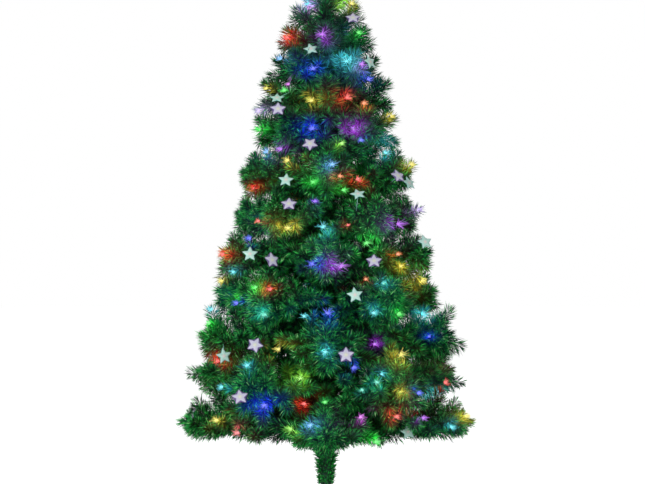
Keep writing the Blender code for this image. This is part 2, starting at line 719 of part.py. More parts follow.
def build_leg_pair(name, hub_height, flat, azimuth):
    """Make one strip with a foot at each end and a round hole for the spigot in its middle."""
    half = leg_path(hub_height, flat)
    line = [(-distance, height) for distance, height in reversed(half[1:])] + half
    rings = []
    for distance, height in line:
        rings.append([Vector((distance, across, height + rise)) for across, rise in hat_section()])
    strip = loft(name, rings)
    hole = rod("hole", Vector((0.0, 0.0, hub_height - OVERRUN)), Vector((0.0, 0.0, hub_height + OVERRUN)),
               SPIGOT_RADIUS + CLEARANCE * 2, POLE_SIDES)
    place(name, boolean_all(name, strip, [hole], "DIFFERENCE"), "steel", rotation=(0.0, 0.0, azimuth))


def build_foot_cap(name, azimuth):
    """Make a soft cap that slips over a toe, with a flat sole on the floor."""
    pocket_floor = TOE_HEIGHT - CLEARANCE
    pocket_top = TOE_HEIGHT + LEG_THICKNESS + LEG_CROWN + CLEARANCE
    start = LEG_REACH - CAP_DEPTH
    low = Vector((start, -CAP_WIDTH / 2, 0.0))
    high = Vector((LEG_REACH + CLEARANCE + CAP_WALL, CAP_WIDTH / 2, pocket_top + CAP_WALL))
    tread, cap_side = CAP_BEVEL, CAP_WIDTH / 2
    outline = [
        (-cap_side, low.z), (cap_side, low.z), (cap_side, high.z - tread), (cap_side - tread, high.z),
        (tread - cap_side, high.z), (-cap_side, high.z - tread),
    ]
    ends = ((low.x, 1.0), (high.x - tread, 1.0), (high.x, 1.0 - CAP_BEVEL / CAP_WIDTH))
    rings = [[Vector((x, across * share, height)) for across, height in outline] for x, share in ends]
    cap = loft(name, rings)
    side = LEG_WIDTH / 2 + CLEARANCE
    pocket = box_mesh("pocket", Vector((start - OVERRUN, -side, pocket_floor)),
                      Vector((LEG_REACH + CLEARANCE, side, pocket_top)))
    place(name, boolean_all(name, cap, [pocket], "DIFFERENCE"), "rubber", rotation=(0.0, 0.0, azimuth))


def build_socket():
    """Make the socket tube: three welded nuts, a floor that stops the pole and a grooved spigot."""
    spigot_foot = SWING_HUB_HEIGHT - CLEARANCE - LOCK_RING_THICKNESS - CLEARANCE - SPIGOT_TAIL
    groove = SPIGOT_RADIUS - GROOVE_DEPTH
    profile = (
        (SOCKET_INNER, SOCKET_TOP),
        (SOCKET_OUTER, SOCKET_TOP),
        (SOCKET_OUTER, SOCKET_BOTTOM),
        (SPIGOT_RADIUS, SOCKET_BOTTOM),
        (SPIGOT_RADIUS, SWING_HUB_HEIGHT),
        (groove, SWING_HUB_HEIGHT),
        (groove, spigot_foot + SPIGOT_TAIL),
        (SPIGOT_RADIUS, spigot_foot + SPIGOT_TAIL),
        (SPIGOT_RADIUS, spigot_foot),
        (SOCKET_FLOOR_HOLE, spigot_foot),
        (SOCKET_FLOOR_HOLE, SOCKET_BOTTOM + SOCKET_FLOOR),
        (SOCKET_INNER, SOCKET_BOTTOM + SOCKET_FLOOR),
    )
    tube = turned("tube", profile, POLE_SIDES)
    nuts, holes = [], []
    for number in range(SCREW_COUNT):
        turn = Matrix.Rotation(screw_azimuth(number), 4, "Z") @ Matrix.Translation((0.0, 0.0, SCREW_HEIGHT))
        nut_start = Vector((SOCKET_INNER + SOCKET_WALL / 2, 0.0, 0.0))
        nut_end = Vector((SOCKET_OUTER + NUT_DEPTH, 0.0, 0.0))
        nut = rod("nut", nut_start, nut_end, NUT_RADIUS, NUT_SIDES)
        hole = rod("hole", Vector((SOCKET_INNER - SOCKET_WALL, 0.0, 0.0)), Vector((SOCKET_OUTER + NUT_DEPTH + OVERRUN,
                   0.0, 0.0)), SCREW_RADIUS + CLEARANCE, SCREW_SIDES)
        nut.transform(turn)
        hole.transform(turn)
        nuts.append(nut)
        holes.append(hole)
    joined = boolean_all("socket_tube", tube, nuts, "UNION")
    place("socket_tube", boolean_all("socket_tube", joined, holes, "DIFFERENCE"), "steel", smooth=True)


def screw_azimuth(number):
    """Direction of a thumb screw seen from above, the first one at the back."""
    return BACK + math.tau * number / SCREW_COUNT


def build_screws():
    """Make the thumb screws: a threaded shank with a lobed knob, tip close to the pole."""
    tip = POLE_RADIUS + CLEARANCE
    for number in range(SCREW_COUNT):
        azimuth = screw_azimuth(number)
        shank = rod("shank", Vector((0.0, 0.0, 0.0)), Vector((SCREW_LENGTH, 0.0, 0.0)), SCREW_RADIUS, SCREW_SIDES)
        rings = []
        for x in (SCREW_LENGTH - KNOB_THICKNESS, SCREW_LENGTH):
            ring = []
            for side in range(KNOB_LOBES * 2):
                reach = KNOB_RADIUS * (KNOB_WAIST_SHARE if side % 2 else 1.0)
                angle = math.tau * side / (KNOB_LOBES * 2)
                ring.append(Vector((x, reach * math.cos(angle), reach * math.sin(angle))))
            rings.append(ring)
        name = f"thumb_screw_{number + 1}"
        mesh = boolean_all(name, shank, [loft("knob", rings)], "UNION")
        seat = (tip * math.cos(azimuth), tip * math.sin(azimuth), SCREW_HEIGHT)
        place(name, mesh, "zinc", seat, (0.0, 0.0, azimuth))


def build_lock_ring():
    """Make the ring that snaps into the spigot's groove and keeps both leg pairs on."""
    top = SWING_HUB_HEIGHT - CLEARANCE
    inner = SPIGOT_RADIUS - GROOVE_DEPTH + CLEARANCE
    foot = top - LOCK_RING_THICKNESS
    profile = ((inner, top), (LOCK_RING_RADIUS, top), (LOCK_RING_RADIUS, foot), (inner, foot))
    place("lock_ring", turned("lock_ring", profile, POLE_SIDES), "zinc")


def build_stand():
    """Make the stand; the fixed legs run left to right and the swing legs cross them."""
    fixed = 0.0
    swing = fixed + math.pi / 2
    build_socket()
    build_leg_pair("fixed_leg_pair", FIXED_HUB_HEIGHT, FIXED_FLAT, fixed)
    build_leg_pair("swing_leg_pair", SWING_HUB_HEIGHT, SWING_FLAT, swing)
    build_lock_ring()
    for number, azimuth in enumerate((fixed, fixed + math.pi, swing, swing + math.pi)):
        build_foot_cap(f"foot_cap_{number + 1}", azimuth)
    build_screws()


def main():
    """Build the whole tree from the floor up."""
    clear_scene()
    build_stand()
    build_poles()
    build_looms()
    build_inlet()
    build_garland()
    build_rings()
    build_branches()
    build_treetop()


main()
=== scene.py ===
"""Looks of the fibre optic Christmas tree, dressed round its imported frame.

Metres, +Z up, the front of the tree looks along -Y. Every branch of the frame gets its wires, its
needles, its star and its lit fibre ends. Needles are laid by the thousand as whole numpy arrays.
"""

import json
import logging
import math
from dataclasses import dataclass, field
from enum import Enum

import bpy
import numpy as np
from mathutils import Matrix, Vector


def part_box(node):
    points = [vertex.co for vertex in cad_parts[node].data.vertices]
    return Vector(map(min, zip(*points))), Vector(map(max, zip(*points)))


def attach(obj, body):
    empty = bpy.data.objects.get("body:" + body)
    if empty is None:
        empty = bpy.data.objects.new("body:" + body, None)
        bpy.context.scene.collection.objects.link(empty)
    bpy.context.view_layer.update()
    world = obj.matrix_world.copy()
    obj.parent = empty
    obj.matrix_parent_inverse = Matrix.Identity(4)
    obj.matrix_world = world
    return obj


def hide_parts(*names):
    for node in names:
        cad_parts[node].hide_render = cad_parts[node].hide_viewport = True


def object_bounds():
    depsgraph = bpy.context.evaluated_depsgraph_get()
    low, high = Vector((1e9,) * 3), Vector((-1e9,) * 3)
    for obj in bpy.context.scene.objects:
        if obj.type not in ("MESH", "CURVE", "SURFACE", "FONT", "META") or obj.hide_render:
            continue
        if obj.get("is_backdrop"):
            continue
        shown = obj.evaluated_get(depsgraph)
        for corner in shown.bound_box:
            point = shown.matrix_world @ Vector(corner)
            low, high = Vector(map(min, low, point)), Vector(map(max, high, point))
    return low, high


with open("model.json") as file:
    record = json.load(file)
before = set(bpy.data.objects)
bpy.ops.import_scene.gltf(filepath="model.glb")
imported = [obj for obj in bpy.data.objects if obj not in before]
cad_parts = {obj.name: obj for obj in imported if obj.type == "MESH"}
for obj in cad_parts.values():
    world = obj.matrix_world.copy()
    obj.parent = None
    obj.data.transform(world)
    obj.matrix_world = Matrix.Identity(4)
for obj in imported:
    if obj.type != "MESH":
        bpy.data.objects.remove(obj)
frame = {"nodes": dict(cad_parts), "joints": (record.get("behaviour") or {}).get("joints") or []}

LOG = logging.getLogger("tree")
GOLDEN_ANGLE = math.pi * (3.0 - math.sqrt(5.0))

Points = np.ndarray
Faces = np.ndarray
Pair = tuple[float, float]
Triple = tuple[float, float, float]
Floats = tuple[float, ...]


class Slot(Enum):
    """The record's material slots."""

    NEEDLES = "needles"
    STAR_FILM = "star_film"
    FIBRE_LIGHT = "fibre_light"
    TWIG_WIRE = "twig_wire"
    RING_PLASTIC = "ring_plastic"
    TRUNK_TUBE = "trunk_tube"
    STAND_STEEL = "stand_steel"
    ZINC = "zinc"
    CAP_RUBBER = "cap_rubber"
    BLACK_PLASTIC = "black_plastic"
    LOOM_SLEEVE = "loom_sleeve"


class Glow(Enum):
    """Colours of the lit fibre ends."""

    RED = (1.0, 0.035, 0.02)
    ORANGE = (1.0, 0.20, 0.01)
    YELLOW = (0.85, 0.70, 0.05)
    LIME = (0.30, 0.85, 0.05)
    GREEN = (0.03, 0.85, 0.06)
    TEAL = (0.02, 0.60, 0.42)
    CYAN = (0.06, 0.72, 0.85)
    SKY = (0.12, 0.45, 1.0)
    BLUE = (0.01, 0.035, 1.0)
    VIOLET = (0.20, 0.02, 1.0)
    PURPLE = (0.42, 0.03, 0.80)
    MAGENTA = (0.62, 0.05, 0.72)
    PINK = (1.0, 0.13, 0.16)
    LILAC = (0.55, 0.40, 0.85)


class Heart(Enum):
    """The two kinds of star: a pink heart in greenish white, or a yellow heart rimmed purple."""

    PINK = "pink"
    YELLOW = "yellow"


def unit(vectors: Points) -> Points:
    """Return vectors over their own length.

    Args:
        vectors: one vector or rows of vectors.

    Returns:
        The same directions with length one.
    """
    return vectors / np.maximum(np.linalg.norm(vectors, axis=-1, keepdims=True), 1e-12)


def smooth_step(values: Points, low: float, high: float) -> Points:
    """Return 3s^2 - 2s^3, where s runs from 0 at low to 1 at high."""
    share = np.clip((values - low) / (high - low), 0.0, 1.0)
    return share * share * (3.0 - 2.0 * share)


def across_axes(heading: Points) -> tuple[Points, Points]:
    """Return two unit vectors across a heading, the second as upright as it can be.

    Args:
        heading: one unit vector or rows of them.

    Returns:
        (side, up): side is world Z cross heading, or world X for an upright heading, and up is
        heading cross side.
    """
    heading = np.asarray(heading, float)
    upright = np.abs(heading[..., 2:3]) > 0.995
    helper = np.where(upright, np.array([0.0, -1.0, 0.0]), np.array([0.0, 0.0, 1.0]))
    side = unit(np.cross(helper, heading))
    return side, np.cross(heading, side)


class MeshBuilder:
    """Gathers arrays of vertices, faces and attributes, and makes one mesh object of them."""

    def __init__(self, name: str) -> None:
        """Start an empty mesh with the piece's name."""
        self.name = name
        self.points: list[Points] = []
        self.faces: list[Faces] = []
        self.values: dict[str, list[Points]] = {}
        self.count = 0

    def add(self, points: Points, faces: Faces, **values: Points) -> None:
        """Add one patch.

        Args:
            points: rows of vertices.
            faces: rows of vertex numbers, three or four to a row, counted from this patch's first.
            **values: a number, two or three for each vertex, or one that all vertices share.
        """
        points = np.asarray(points, np.float32).reshape(-1, 3)
        self.points.append(points)
        self.faces.append(np.asarray(faces, np.int64) + self.count)
        for key, value in values.items():
            value = np.asarray(value, np.float32)
            self.values.setdefault(key, []).append(np.broadcast_to(value, (len(points),) + value.shape[1:]))
        self.count += len(points)

    def build(self, uv: str | None = None, sharp: float | None = None) -> bpy.types.Object:
        """Make the mesh object and link it.

        Args:
            uv: the name of a UV map that the values called "uv" go into, or None.
            sharp: edges that bend by more than this angle stay sharp, or None.

        Returns:
            The new object, at the origin, shaded smooth.
        """
        points = np.concatenate(self.points)
        loops = np.concatenate([f.ravel() for f in self.faces]).astype(np.int32)
        sizes = np.concatenate([np.full(len(f), f.shape[1]) for f in self.faces]).astype(np.int32)
        mesh = bpy.data.meshes.new(self.name)
        mesh.vertices.add(len(points))
        mesh.vertices.foreach_set("co", points.ravel())
        mesh.loops.add(len(loops))
        mesh.loops.foreach_set("vertex_index", loops)
        mesh.polygons.add(len(sizes))
        mesh.polygons.foreach_set("loop_start", np.concatenate([[0], np.cumsum(sizes)[:-1]]).astype(np.int32))
        mesh.update(calc_edges=True)
        for key, parts in self.values.items():
            value = np.concatenate(parts)
            if key == "uv":
                layer = mesh.uv_layers.new(name=uv)
                layer.data.foreach_set("uv", value[loops].astype(np.float32).ravel())
            elif value.ndim == 1:
                mesh.attributes.new(key, "FLOAT", "POINT").data.foreach_set("value", value)
            else:
                colour = np.concatenate([value, np.ones((len(value), 1), np.float32)], axis=1)
                mesh.attributes.new(key, "FLOAT_COLOR", "POINT").data.foreach_set("color", colour.ravel())
        mesh.shade_smooth()
        if sharp is not None:
            mesh.set_sharp_from_angle(angle=sharp)
        mesh.validate()
        obj = bpy.data.objects.new(self.name, mesh)
        bpy.context.scene.collection.objects.link(obj)
        return obj


def ring_angles(sides: int) -> Points:
    """Return the angles of a ring's points."""
    return np.arange(sides) * math.tau / sides


def around(heading: Points, angle: Points) -> Points:
    """Return unit vectors across a heading, or across each of its rows: side * cos + up * sin."""
    side, up = across_axes(heading)
    return side * np.cos(angle)[:, None] + up * np.sin(angle)[:, None]


def rings_round(heading: Points, sides: int) -> Points:
    """Return a ring of unit vectors across each row of headings: (rows, sides, 3)."""
    side, up = across_axes(heading)
    angle = ring_angles(sides)[None, :, None]
    return side[:, None] * np.cos(angle) + up[:, None] * np.sin(angle)


def stacked(*parts: Points) -> Points:
    """Return points of an x, a y and a z that each spread over the largest shape."""
    return np.stack(np.broadcast_arrays(*parts), axis=-1)


def grid_faces(rows: int, columns: int) -> Faces:
    """Return the quads of a grid of vertices, row by row, with the columns joined round."""
    row, column = np.meshgrid(np.arange(rows - 1), np.arange(columns), indexing="ij")
    here, beyond, after = row * columns, (row + 1) * columns, (column + 1) % columns
    return np.stack([here + column, here + after, beyond + after, beyond + column], axis=-1).reshape(-1, 4)


def triangles(quads: Faces) -> Faces:
    """Return quads split into two triangles each, first all the one halves and then the other."""
    return np.concatenate([quads[:, [0, 1, 2]], quads[:, [0, 2, 3]]])


def fan_faces(first: int, columns: int, heart: int, outward: bool) -> Faces:
    """Return the triangles that close a ring of vertices onto one heart vertex."""
    column = np.arange(columns)
    after = (column + 1) % columns
    pair = (column, after) if outward else (after, column)
    return np.stack([first + pair[0], first + pair[1], np.full(columns, heart)], axis=-1)


def fronts_out(points: Points, faces: Faces) -> Faces:
    """Return a closed patch's triangles, turned round if the volume they enclose is negative."""
    corners = points[faces]
    volume = (corners[:, 0] * np.cross(corners[:, 1], corners[:, 2])).sum()
    return faces if volume > 0 else faces[:, ::-1]


def skin(rings: Points) -> tuple[Points, Faces]:
    """Join rings of vertices into one closed skin, each end closed by a fan round its mean point.

    Args:
        rings: (rows, columns, 3).

    Returns:
        (points, triangles), the fronts outside.
    """
    rows, columns = rings.shape[:2]
    points = np.concatenate([rings.reshape(-1, 3), rings[:1].mean(axis=1), rings[-1:].mean(axis=1)])
    start = fan_faces(0, columns, rows * columns, outward=False)
    end = fan_faces((rows - 1) * columns, columns, rows * columns + 1, outward=True)
    faces = np.concatenate([triangles(grid_faces(rows, columns)), start, end])
    return points, fronts_out(points, faces)


def turned(profile: Points, sides: int) -> tuple[Points, Faces]:
    """Turn a closed profile of (radius, height) rows round the Z axis.

    Args:
        profile: the profile's corners in order.
        sides: sides of the turned shape.

    Returns:
        (points, triangles), the fronts outside.
    """
    radius, height = profile[:, :1], profile[:, 1:]
    angle = ring_angles(sides)
    points = stacked(radius * np.cos(angle), radius * np.sin(angle), height).reshape(-1, 3)
    quads = grid_faces(len(profile) + 1, sides) % len(points)
    return points, fronts_out(points, triangles(quads))


def rounded(corners: tuple[Floats, ...], radius: float, steps: int, closed: bool = True) -> Points:
    """Round the corners of a line: corner + back * (1 - t)^2 + on * t^2, with t from 0 to 1.

    Args:
        corners: the line's corners.
        radius: how far from a corner its bend begins, at most 0.45 of the shorter side.
        steps: points to a bend, less one.
        closed: whether the last corner joins the first.

    Returns:
        Rows of points.
    """
    line = np.asarray(corners, float)
    back, on = np.roll(line, 1, axis=0) - line, np.roll(line, -1, axis=0) - line
    shorter = np.minimum(np.linalg.norm(back, axis=1), np.linalg.norm(on, axis=1))
    cut = np.minimum(radius, 0.45 * shorter)[:, None]
    share = np.linspace(0.0, 1.0, steps + 1)[None, :, None]
    back, on = (unit(back) * cut)[:, None], (unit(on) * cut)[:, None]
    bends = line[:, None] + back * (1 - share) ** 2 + on * share ** 2
    if closed:
        return bends.reshape(-1, line.shape[1])
    return np.concatenate([line[:1], bends[1:-1].reshape(-1, line.shape[1]), line[-1:]])


def about_z(points: Points, angle: float) -> Points:
    """Return points turned about the Z axis."""
    c, s = math.cos(angle), math.sin(angle)
    return points @ np.array([[c, s, 0.0], [-s, c, 0.0], [0.0, 0.0, 1.0]])


def tube(
    path: Points, radii: Points, sides: int, twist: float = 0.0, bulge: float = 0.0,
) -> tuple[Points, Faces]:
    """Carry a circle along a path, closed at both ends.

    The section at a path point is radius * (1 + bulge * cos(2 * (angle - twist * row))), so that a
    bulge with a twist reads as two wires wound round each other.

    Args:
        path: rows of centre points.
        radii: the radius at each point.
        sides: points round a section.
        twist: turn of the bulge from one row to the next, in radians.
        bulge: share of the radius that the two wires stand out.

    Returns:
        (points, triangles).
    """
    ring = rings_round(unit(np.gradient(path, axis=0)), sides)
    row = np.arange(len(path))[:, None]
    reach = radii[:, None] * (1.0 + bulge * np.cos(2.0 * (ring_angles(sides)[None, :] - twist * row)))
    return skin(path[:, None, :] + ring * reach[:, :, None])


def rod(start: Points, end: Points, radius: float, sides: int) -> tuple[Points, Faces]:
    """Return a straight round rod between two points."""
    share = np.linspace(0.0, 1.0, 4)[:, None]
    return tube(start + (end - start) * share, np.full(4, radius), sides)


@dataclass(frozen=True)
class Photograph:
    """The photograph's camera, level with the middle of the crown and in front of it."""

    width: int = 645
    height: int = 484
    focal: float = 1311.0
    eye: Triple = (-0.0107, -4.0, 0.878)
    sensor: float = 36.0

    def pixels(self, points: Points) -> Points:
        """Return where points fall: the centre plus focal times the offset over the distance."""
        offset = np.asarray(points, float) - np.array(self.eye)
        ahead = offset[..., 1]
        column = self.width / 2 + self.focal * offset[..., 0] / ahead
        row = self.height / 2 - self.focal * offset[..., 2] / ahead
        return np.stack([column, row], axis=-1)

    def on_ray(self, pixel: Pair, depth: float) -> Points:
        """Return the point that falls on a pixel and has the given Y."""
        ahead = depth - self.eye[1]
        across = (pixel[0] - self.width / 2) * ahead / self.focal
        rise = (self.height / 2 - pixel[1]) * ahead / self.focal
        return np.array([self.eye[0] + across, depth, self.eye[2] + rise])

    def make_camera(self) -> None:
        """Create the scene's camera at the photograph's place."""
        data = bpy.data.cameras.new("photograph")
        data.sensor_width = self.sensor
        data.lens = self.focal / self.width * self.sensor
        camera = bpy.data.objects.new("photograph", data)
        camera.location = self.eye
        camera.rotation_euler = (math.pi / 2, 0.0, 0.0)
        bpy.context.scene.collection.objects.link(camera)
        bpy.context.scene.camera = camera


@dataclass(frozen=True)
class Light:
    """One bunch of lit fibre ends."""

    centre: Points
    outward: Points
    colour: Triple
    reach: float
    power: float


# What the photograph shows of the lit fibre ends: column, row, colour, and width against the usual one
PHOTO_LIGHTS = (
    (307, 3, Glow.CYAN, 0.8), (352, 3, Glow.YELLOW, 0.7), (287, 37, Glow.RED, 0.9),
    (322, 34, Glow.PURPLE, 1.4), (359, 32, Glow.GREEN, 0.8), (280, 58, Glow.SKY, 0.8),
    (313, 68, Glow.BLUE, 1.1), (347, 60, Glow.CYAN, 1.5), (362, 64, Glow.PURPLE, 0.9),
    (369, 79, Glow.BLUE, 0.8), (284, 90, Glow.GREEN, 0.8), (288, 84, Glow.MAGENTA, 0.5),
    (266, 88, Glow.YELLOW, 0.6), (311, 100, Glow.YELLOW, 0.9), (348, 97, Glow.RED, 1.1),
    (364, 103, Glow.ORANGE, 0.7), (258, 111, Glow.LILAC, 0.8), (392, 116, Glow.YELLOW, 0.7),
    (259, 129, Glow.GREEN, 0.7), (312, 128, Glow.BLUE, 1.1), (354, 129, Glow.PURPLE, 1.1),
    (361, 140, Glow.BLUE, 0.7), (342, 143, Glow.LIME, 0.8), (266, 151, Glow.SKY, 0.9),
    (280, 149, Glow.PURPLE, 0.8), (287, 160, Glow.YELLOW, 1.0), (386, 152, Glow.CYAN, 0.9),
    (332, 164, Glow.SKY, 1.1), (412, 164, Glow.YELLOW, 0.7), (358, 179, Glow.RED, 0.9),
    (340, 176, Glow.ORANGE, 0.6), (254, 188, Glow.RED, 0.6), (313, 182, Glow.GREEN, 0.7),
    (344, 190, Glow.GREEN, 0.7), (315, 201, Glow.VIOLET, 0.6), (258, 221, Glow.RED, 0.6),
    (288, 228, Glow.YELLOW, 1.0), (323, 226, Glow.CYAN, 1.2), (348, 225, Glow.RED, 0.4),
    (400, 224, Glow.PURPLE, 1.4), (419, 210, Glow.LILAC, 0.9), (249, 238, Glow.BLUE, 0.9),
    (367, 243, Glow.GREEN, 1.2), (222, 254, Glow.RED, 0.9), (312, 264, Glow.BLUE, 1.1),
    (342, 266, Glow.PURPLE, 1.3), (398, 254, Glow.ORANGE, 0.6), (401, 266, Glow.YELLOW, 0.6),
    (233, 272, Glow.CYAN, 0.7), (221, 281, Glow.YELLOW, 0.7), (423, 281, Glow.YELLOW, 0.9),
    (270, 289, Glow.RED, 0.7), (255, 287, Glow.GREEN, 0.7), (366, 279, Glow.ORANGE, 0.5),
    (384, 283, Glow.CYAN, 0.6), (236, 303, Glow.BLUE, 0.8), (211, 309, Glow.CYAN, 0.7),
    (264, 315, Glow.TEAL, 1.3), (304, 316, Glow.CYAN, 0.7), (328, 312, Glow.BLUE, 1.4),
    (374, 313, Glow.CYAN, 0.9), (399, 314, Glow.GREEN, 0.8), (424, 314, Glow.CYAN, 0.8),
    (209, 323, Glow.GREEN, 0.6), (429, 336, Glow.BLUE, 0.45), (278, 349, Glow.YELLOW, 0.9),
    (325, 352, Glow.CYAN, 0.8), (375, 344, Glow.PURPLE, 0.7), (402, 354, Glow.YELLOW, 1.3),
    (217, 361, Glow.RED, 0.9), (247, 365, Glow.CYAN, 0.8), (354, 368, Glow.BLUE, 0.9),
    (300, 378, Glow.LIME, 1.2), (377, 382, Glow.TEAL, 0.9), (382, 374, Glow.CYAN, 0.5),
    (362, 390, Glow.TEAL, 0.7), (401, 392, Glow.YELLOW, 0.55), (419, 393, Glow.BLUE, 0.7),
    (446, 382, Glow.RED, 0.9), (221, 387, Glow.CYAN, 0.8), (264, 406, Glow.BLUE, 1.3),
    (304, 404, Glow.RED, 0.8), (325, 402, Glow.GREEN, 0.5), (361, 417, Glow.MAGENTA, 1.0),
    (397, 417, Glow.RED, 0.9), (424, 418, Glow.PURPLE, 0.9), (467, 416, Glow.YELLOW, 0.8),
    (452, 427, Glow.CYAN, 0.7), (216, 420, Glow.YELLOW, 0.9), (237, 433, Glow.PINK, 0.9),
    (290, 429, Glow.LIME, 0.9), (310, 425, Glow.SKY, 0.8), (377, 442, Glow.GREEN, 1.2),
)

# The stars that the photograph shows: column, row, kind, and lean, pitch and turn of the face in degrees
PHOTO_STARS = (
    (353, 18, Heart.YELLOW, 0, 41, 0), (311, 49, Heart.PINK, -15, 35, 0),
    (370, 62, Heart.PINK, -10, 20, 45), (277, 98, Heart.PINK, 0, 48, 0),
    (278, 109, Heart.YELLOW, 0, 32, 0), (310, 144, Heart.YELLOW, 36, 35, 0),
    (286, 180, Heart.PINK, 5, 30, 0), (398, 176, Heart.YELLOW, 0, 35, 35),
    (409, 183, Heart.PINK, 0, 30, 40), (289, 204, Heart.YELLOW, 0, 40, 0),
    (358, 194, Heart.PINK, -16, 48, 0), (425, 242, Heart.PINK, -8, 25, 20),
    (250, 254, Heart.PINK, 0, 22, 0), (272, 260, Heart.YELLOW, 0, 20, 35),
    (374, 261, Heart.YELLOW, 0, 35, 0), (355, 295, Heart.PINK, -8, 20, 0),
    (255, 345, Heart.YELLOW, 25, 25, 0), (224, 356, Heart.PINK, -8, 10, 20),
    (346, 355, Heart.YELLOW, 0, 25, 0), (240, 397, Heart.YELLOW, -10, 35, 0),
    (408, 432, Heart.PINK, -8, 28, 0),
)

# Ends of the photograph's branches that stand apart, and places where its crown has no hole: column, row
PHOTO_TWIGS = (
    (450, 309), (442, 314), (436, 307), (461, 347), (452, 351), (442, 350), (462, 383), (453, 387),
    (447, 379), (190, 374), (197, 377), (259, 238), (252, 275), (222, 398), (393, 238), (429, 395),
    (259, 197),
)


@dataclass(frozen=True)
class Sprig:
    """A wire with needles all round it, ending in a blunt brush.

    Its centre line is start + heading * wire * t + up * bend * t * t, with t from 0 to 1.
    """

    start: Points
    heading: Points
    length: float
    radius: float
    bare: float = 0.05
    bend: float = 0.0
    wire_radius: float = 0.001

    @property
    def wire(self) -> float:
        """Length of the wire: the needles stand past its end by most of their own reach."""
        return max(self.length - 0.85 * self.radius, 0.3 * self.length)

    @property
    def rise(self) -> Points:
        """How far the wire's end is bent up."""
        return np.array([0.0, 0.0, 1.0]) * self.bend

    def line(self, share: Points) -> Points:
        """Return centre points at shares of the wire."""
        share = np.asarray(share, float)[..., None]
        return self.start + self.heading * self.wire * share + self.rise * share * share

    def slope(self, share: Points) -> Points:
        """Return unit headings at shares of the wire, the line's derivative."""
        return unit(self.heading * self.wire + 2.0 * self.rise * np.asarray(share, float)[..., None])


def folded_blades(
    root: Points, tip: Points, direction: Points, spin: Points, widest: float, keel: float,
    half: Points | float,
) -> Points:
    """Return folded blades from roots to tips.

    Args:
        root: where each leaves its wire.
        tip: where each ends.
        direction: their unit headings.
        spin: the turn of each about its own heading.
        widest: the share of its length at which a blade is widest.
        keel: how far it is folded there.
        half: half its width there.

    Returns:
        (n, 4, 3): root, tip, left and right of each blade.
    """
    across = around(direction, spin)
    middle = root + (tip - root) * widest + np.cross(direction, across) * keel
    side = across * half
    return np.stack([root, tip, middle - side, middle + side], axis=1)


def blade_tones(body: Points, paler: float) -> Points:
    """Return (n, 4) tones of blades: painted shade darkens the root, a painted highlight makes the tip paler,
    and the sides keep the body's own.
    """
    return np.clip(np.stack([body - 0.3, body + paler, body, body], axis=1), 0.0, 0.86)


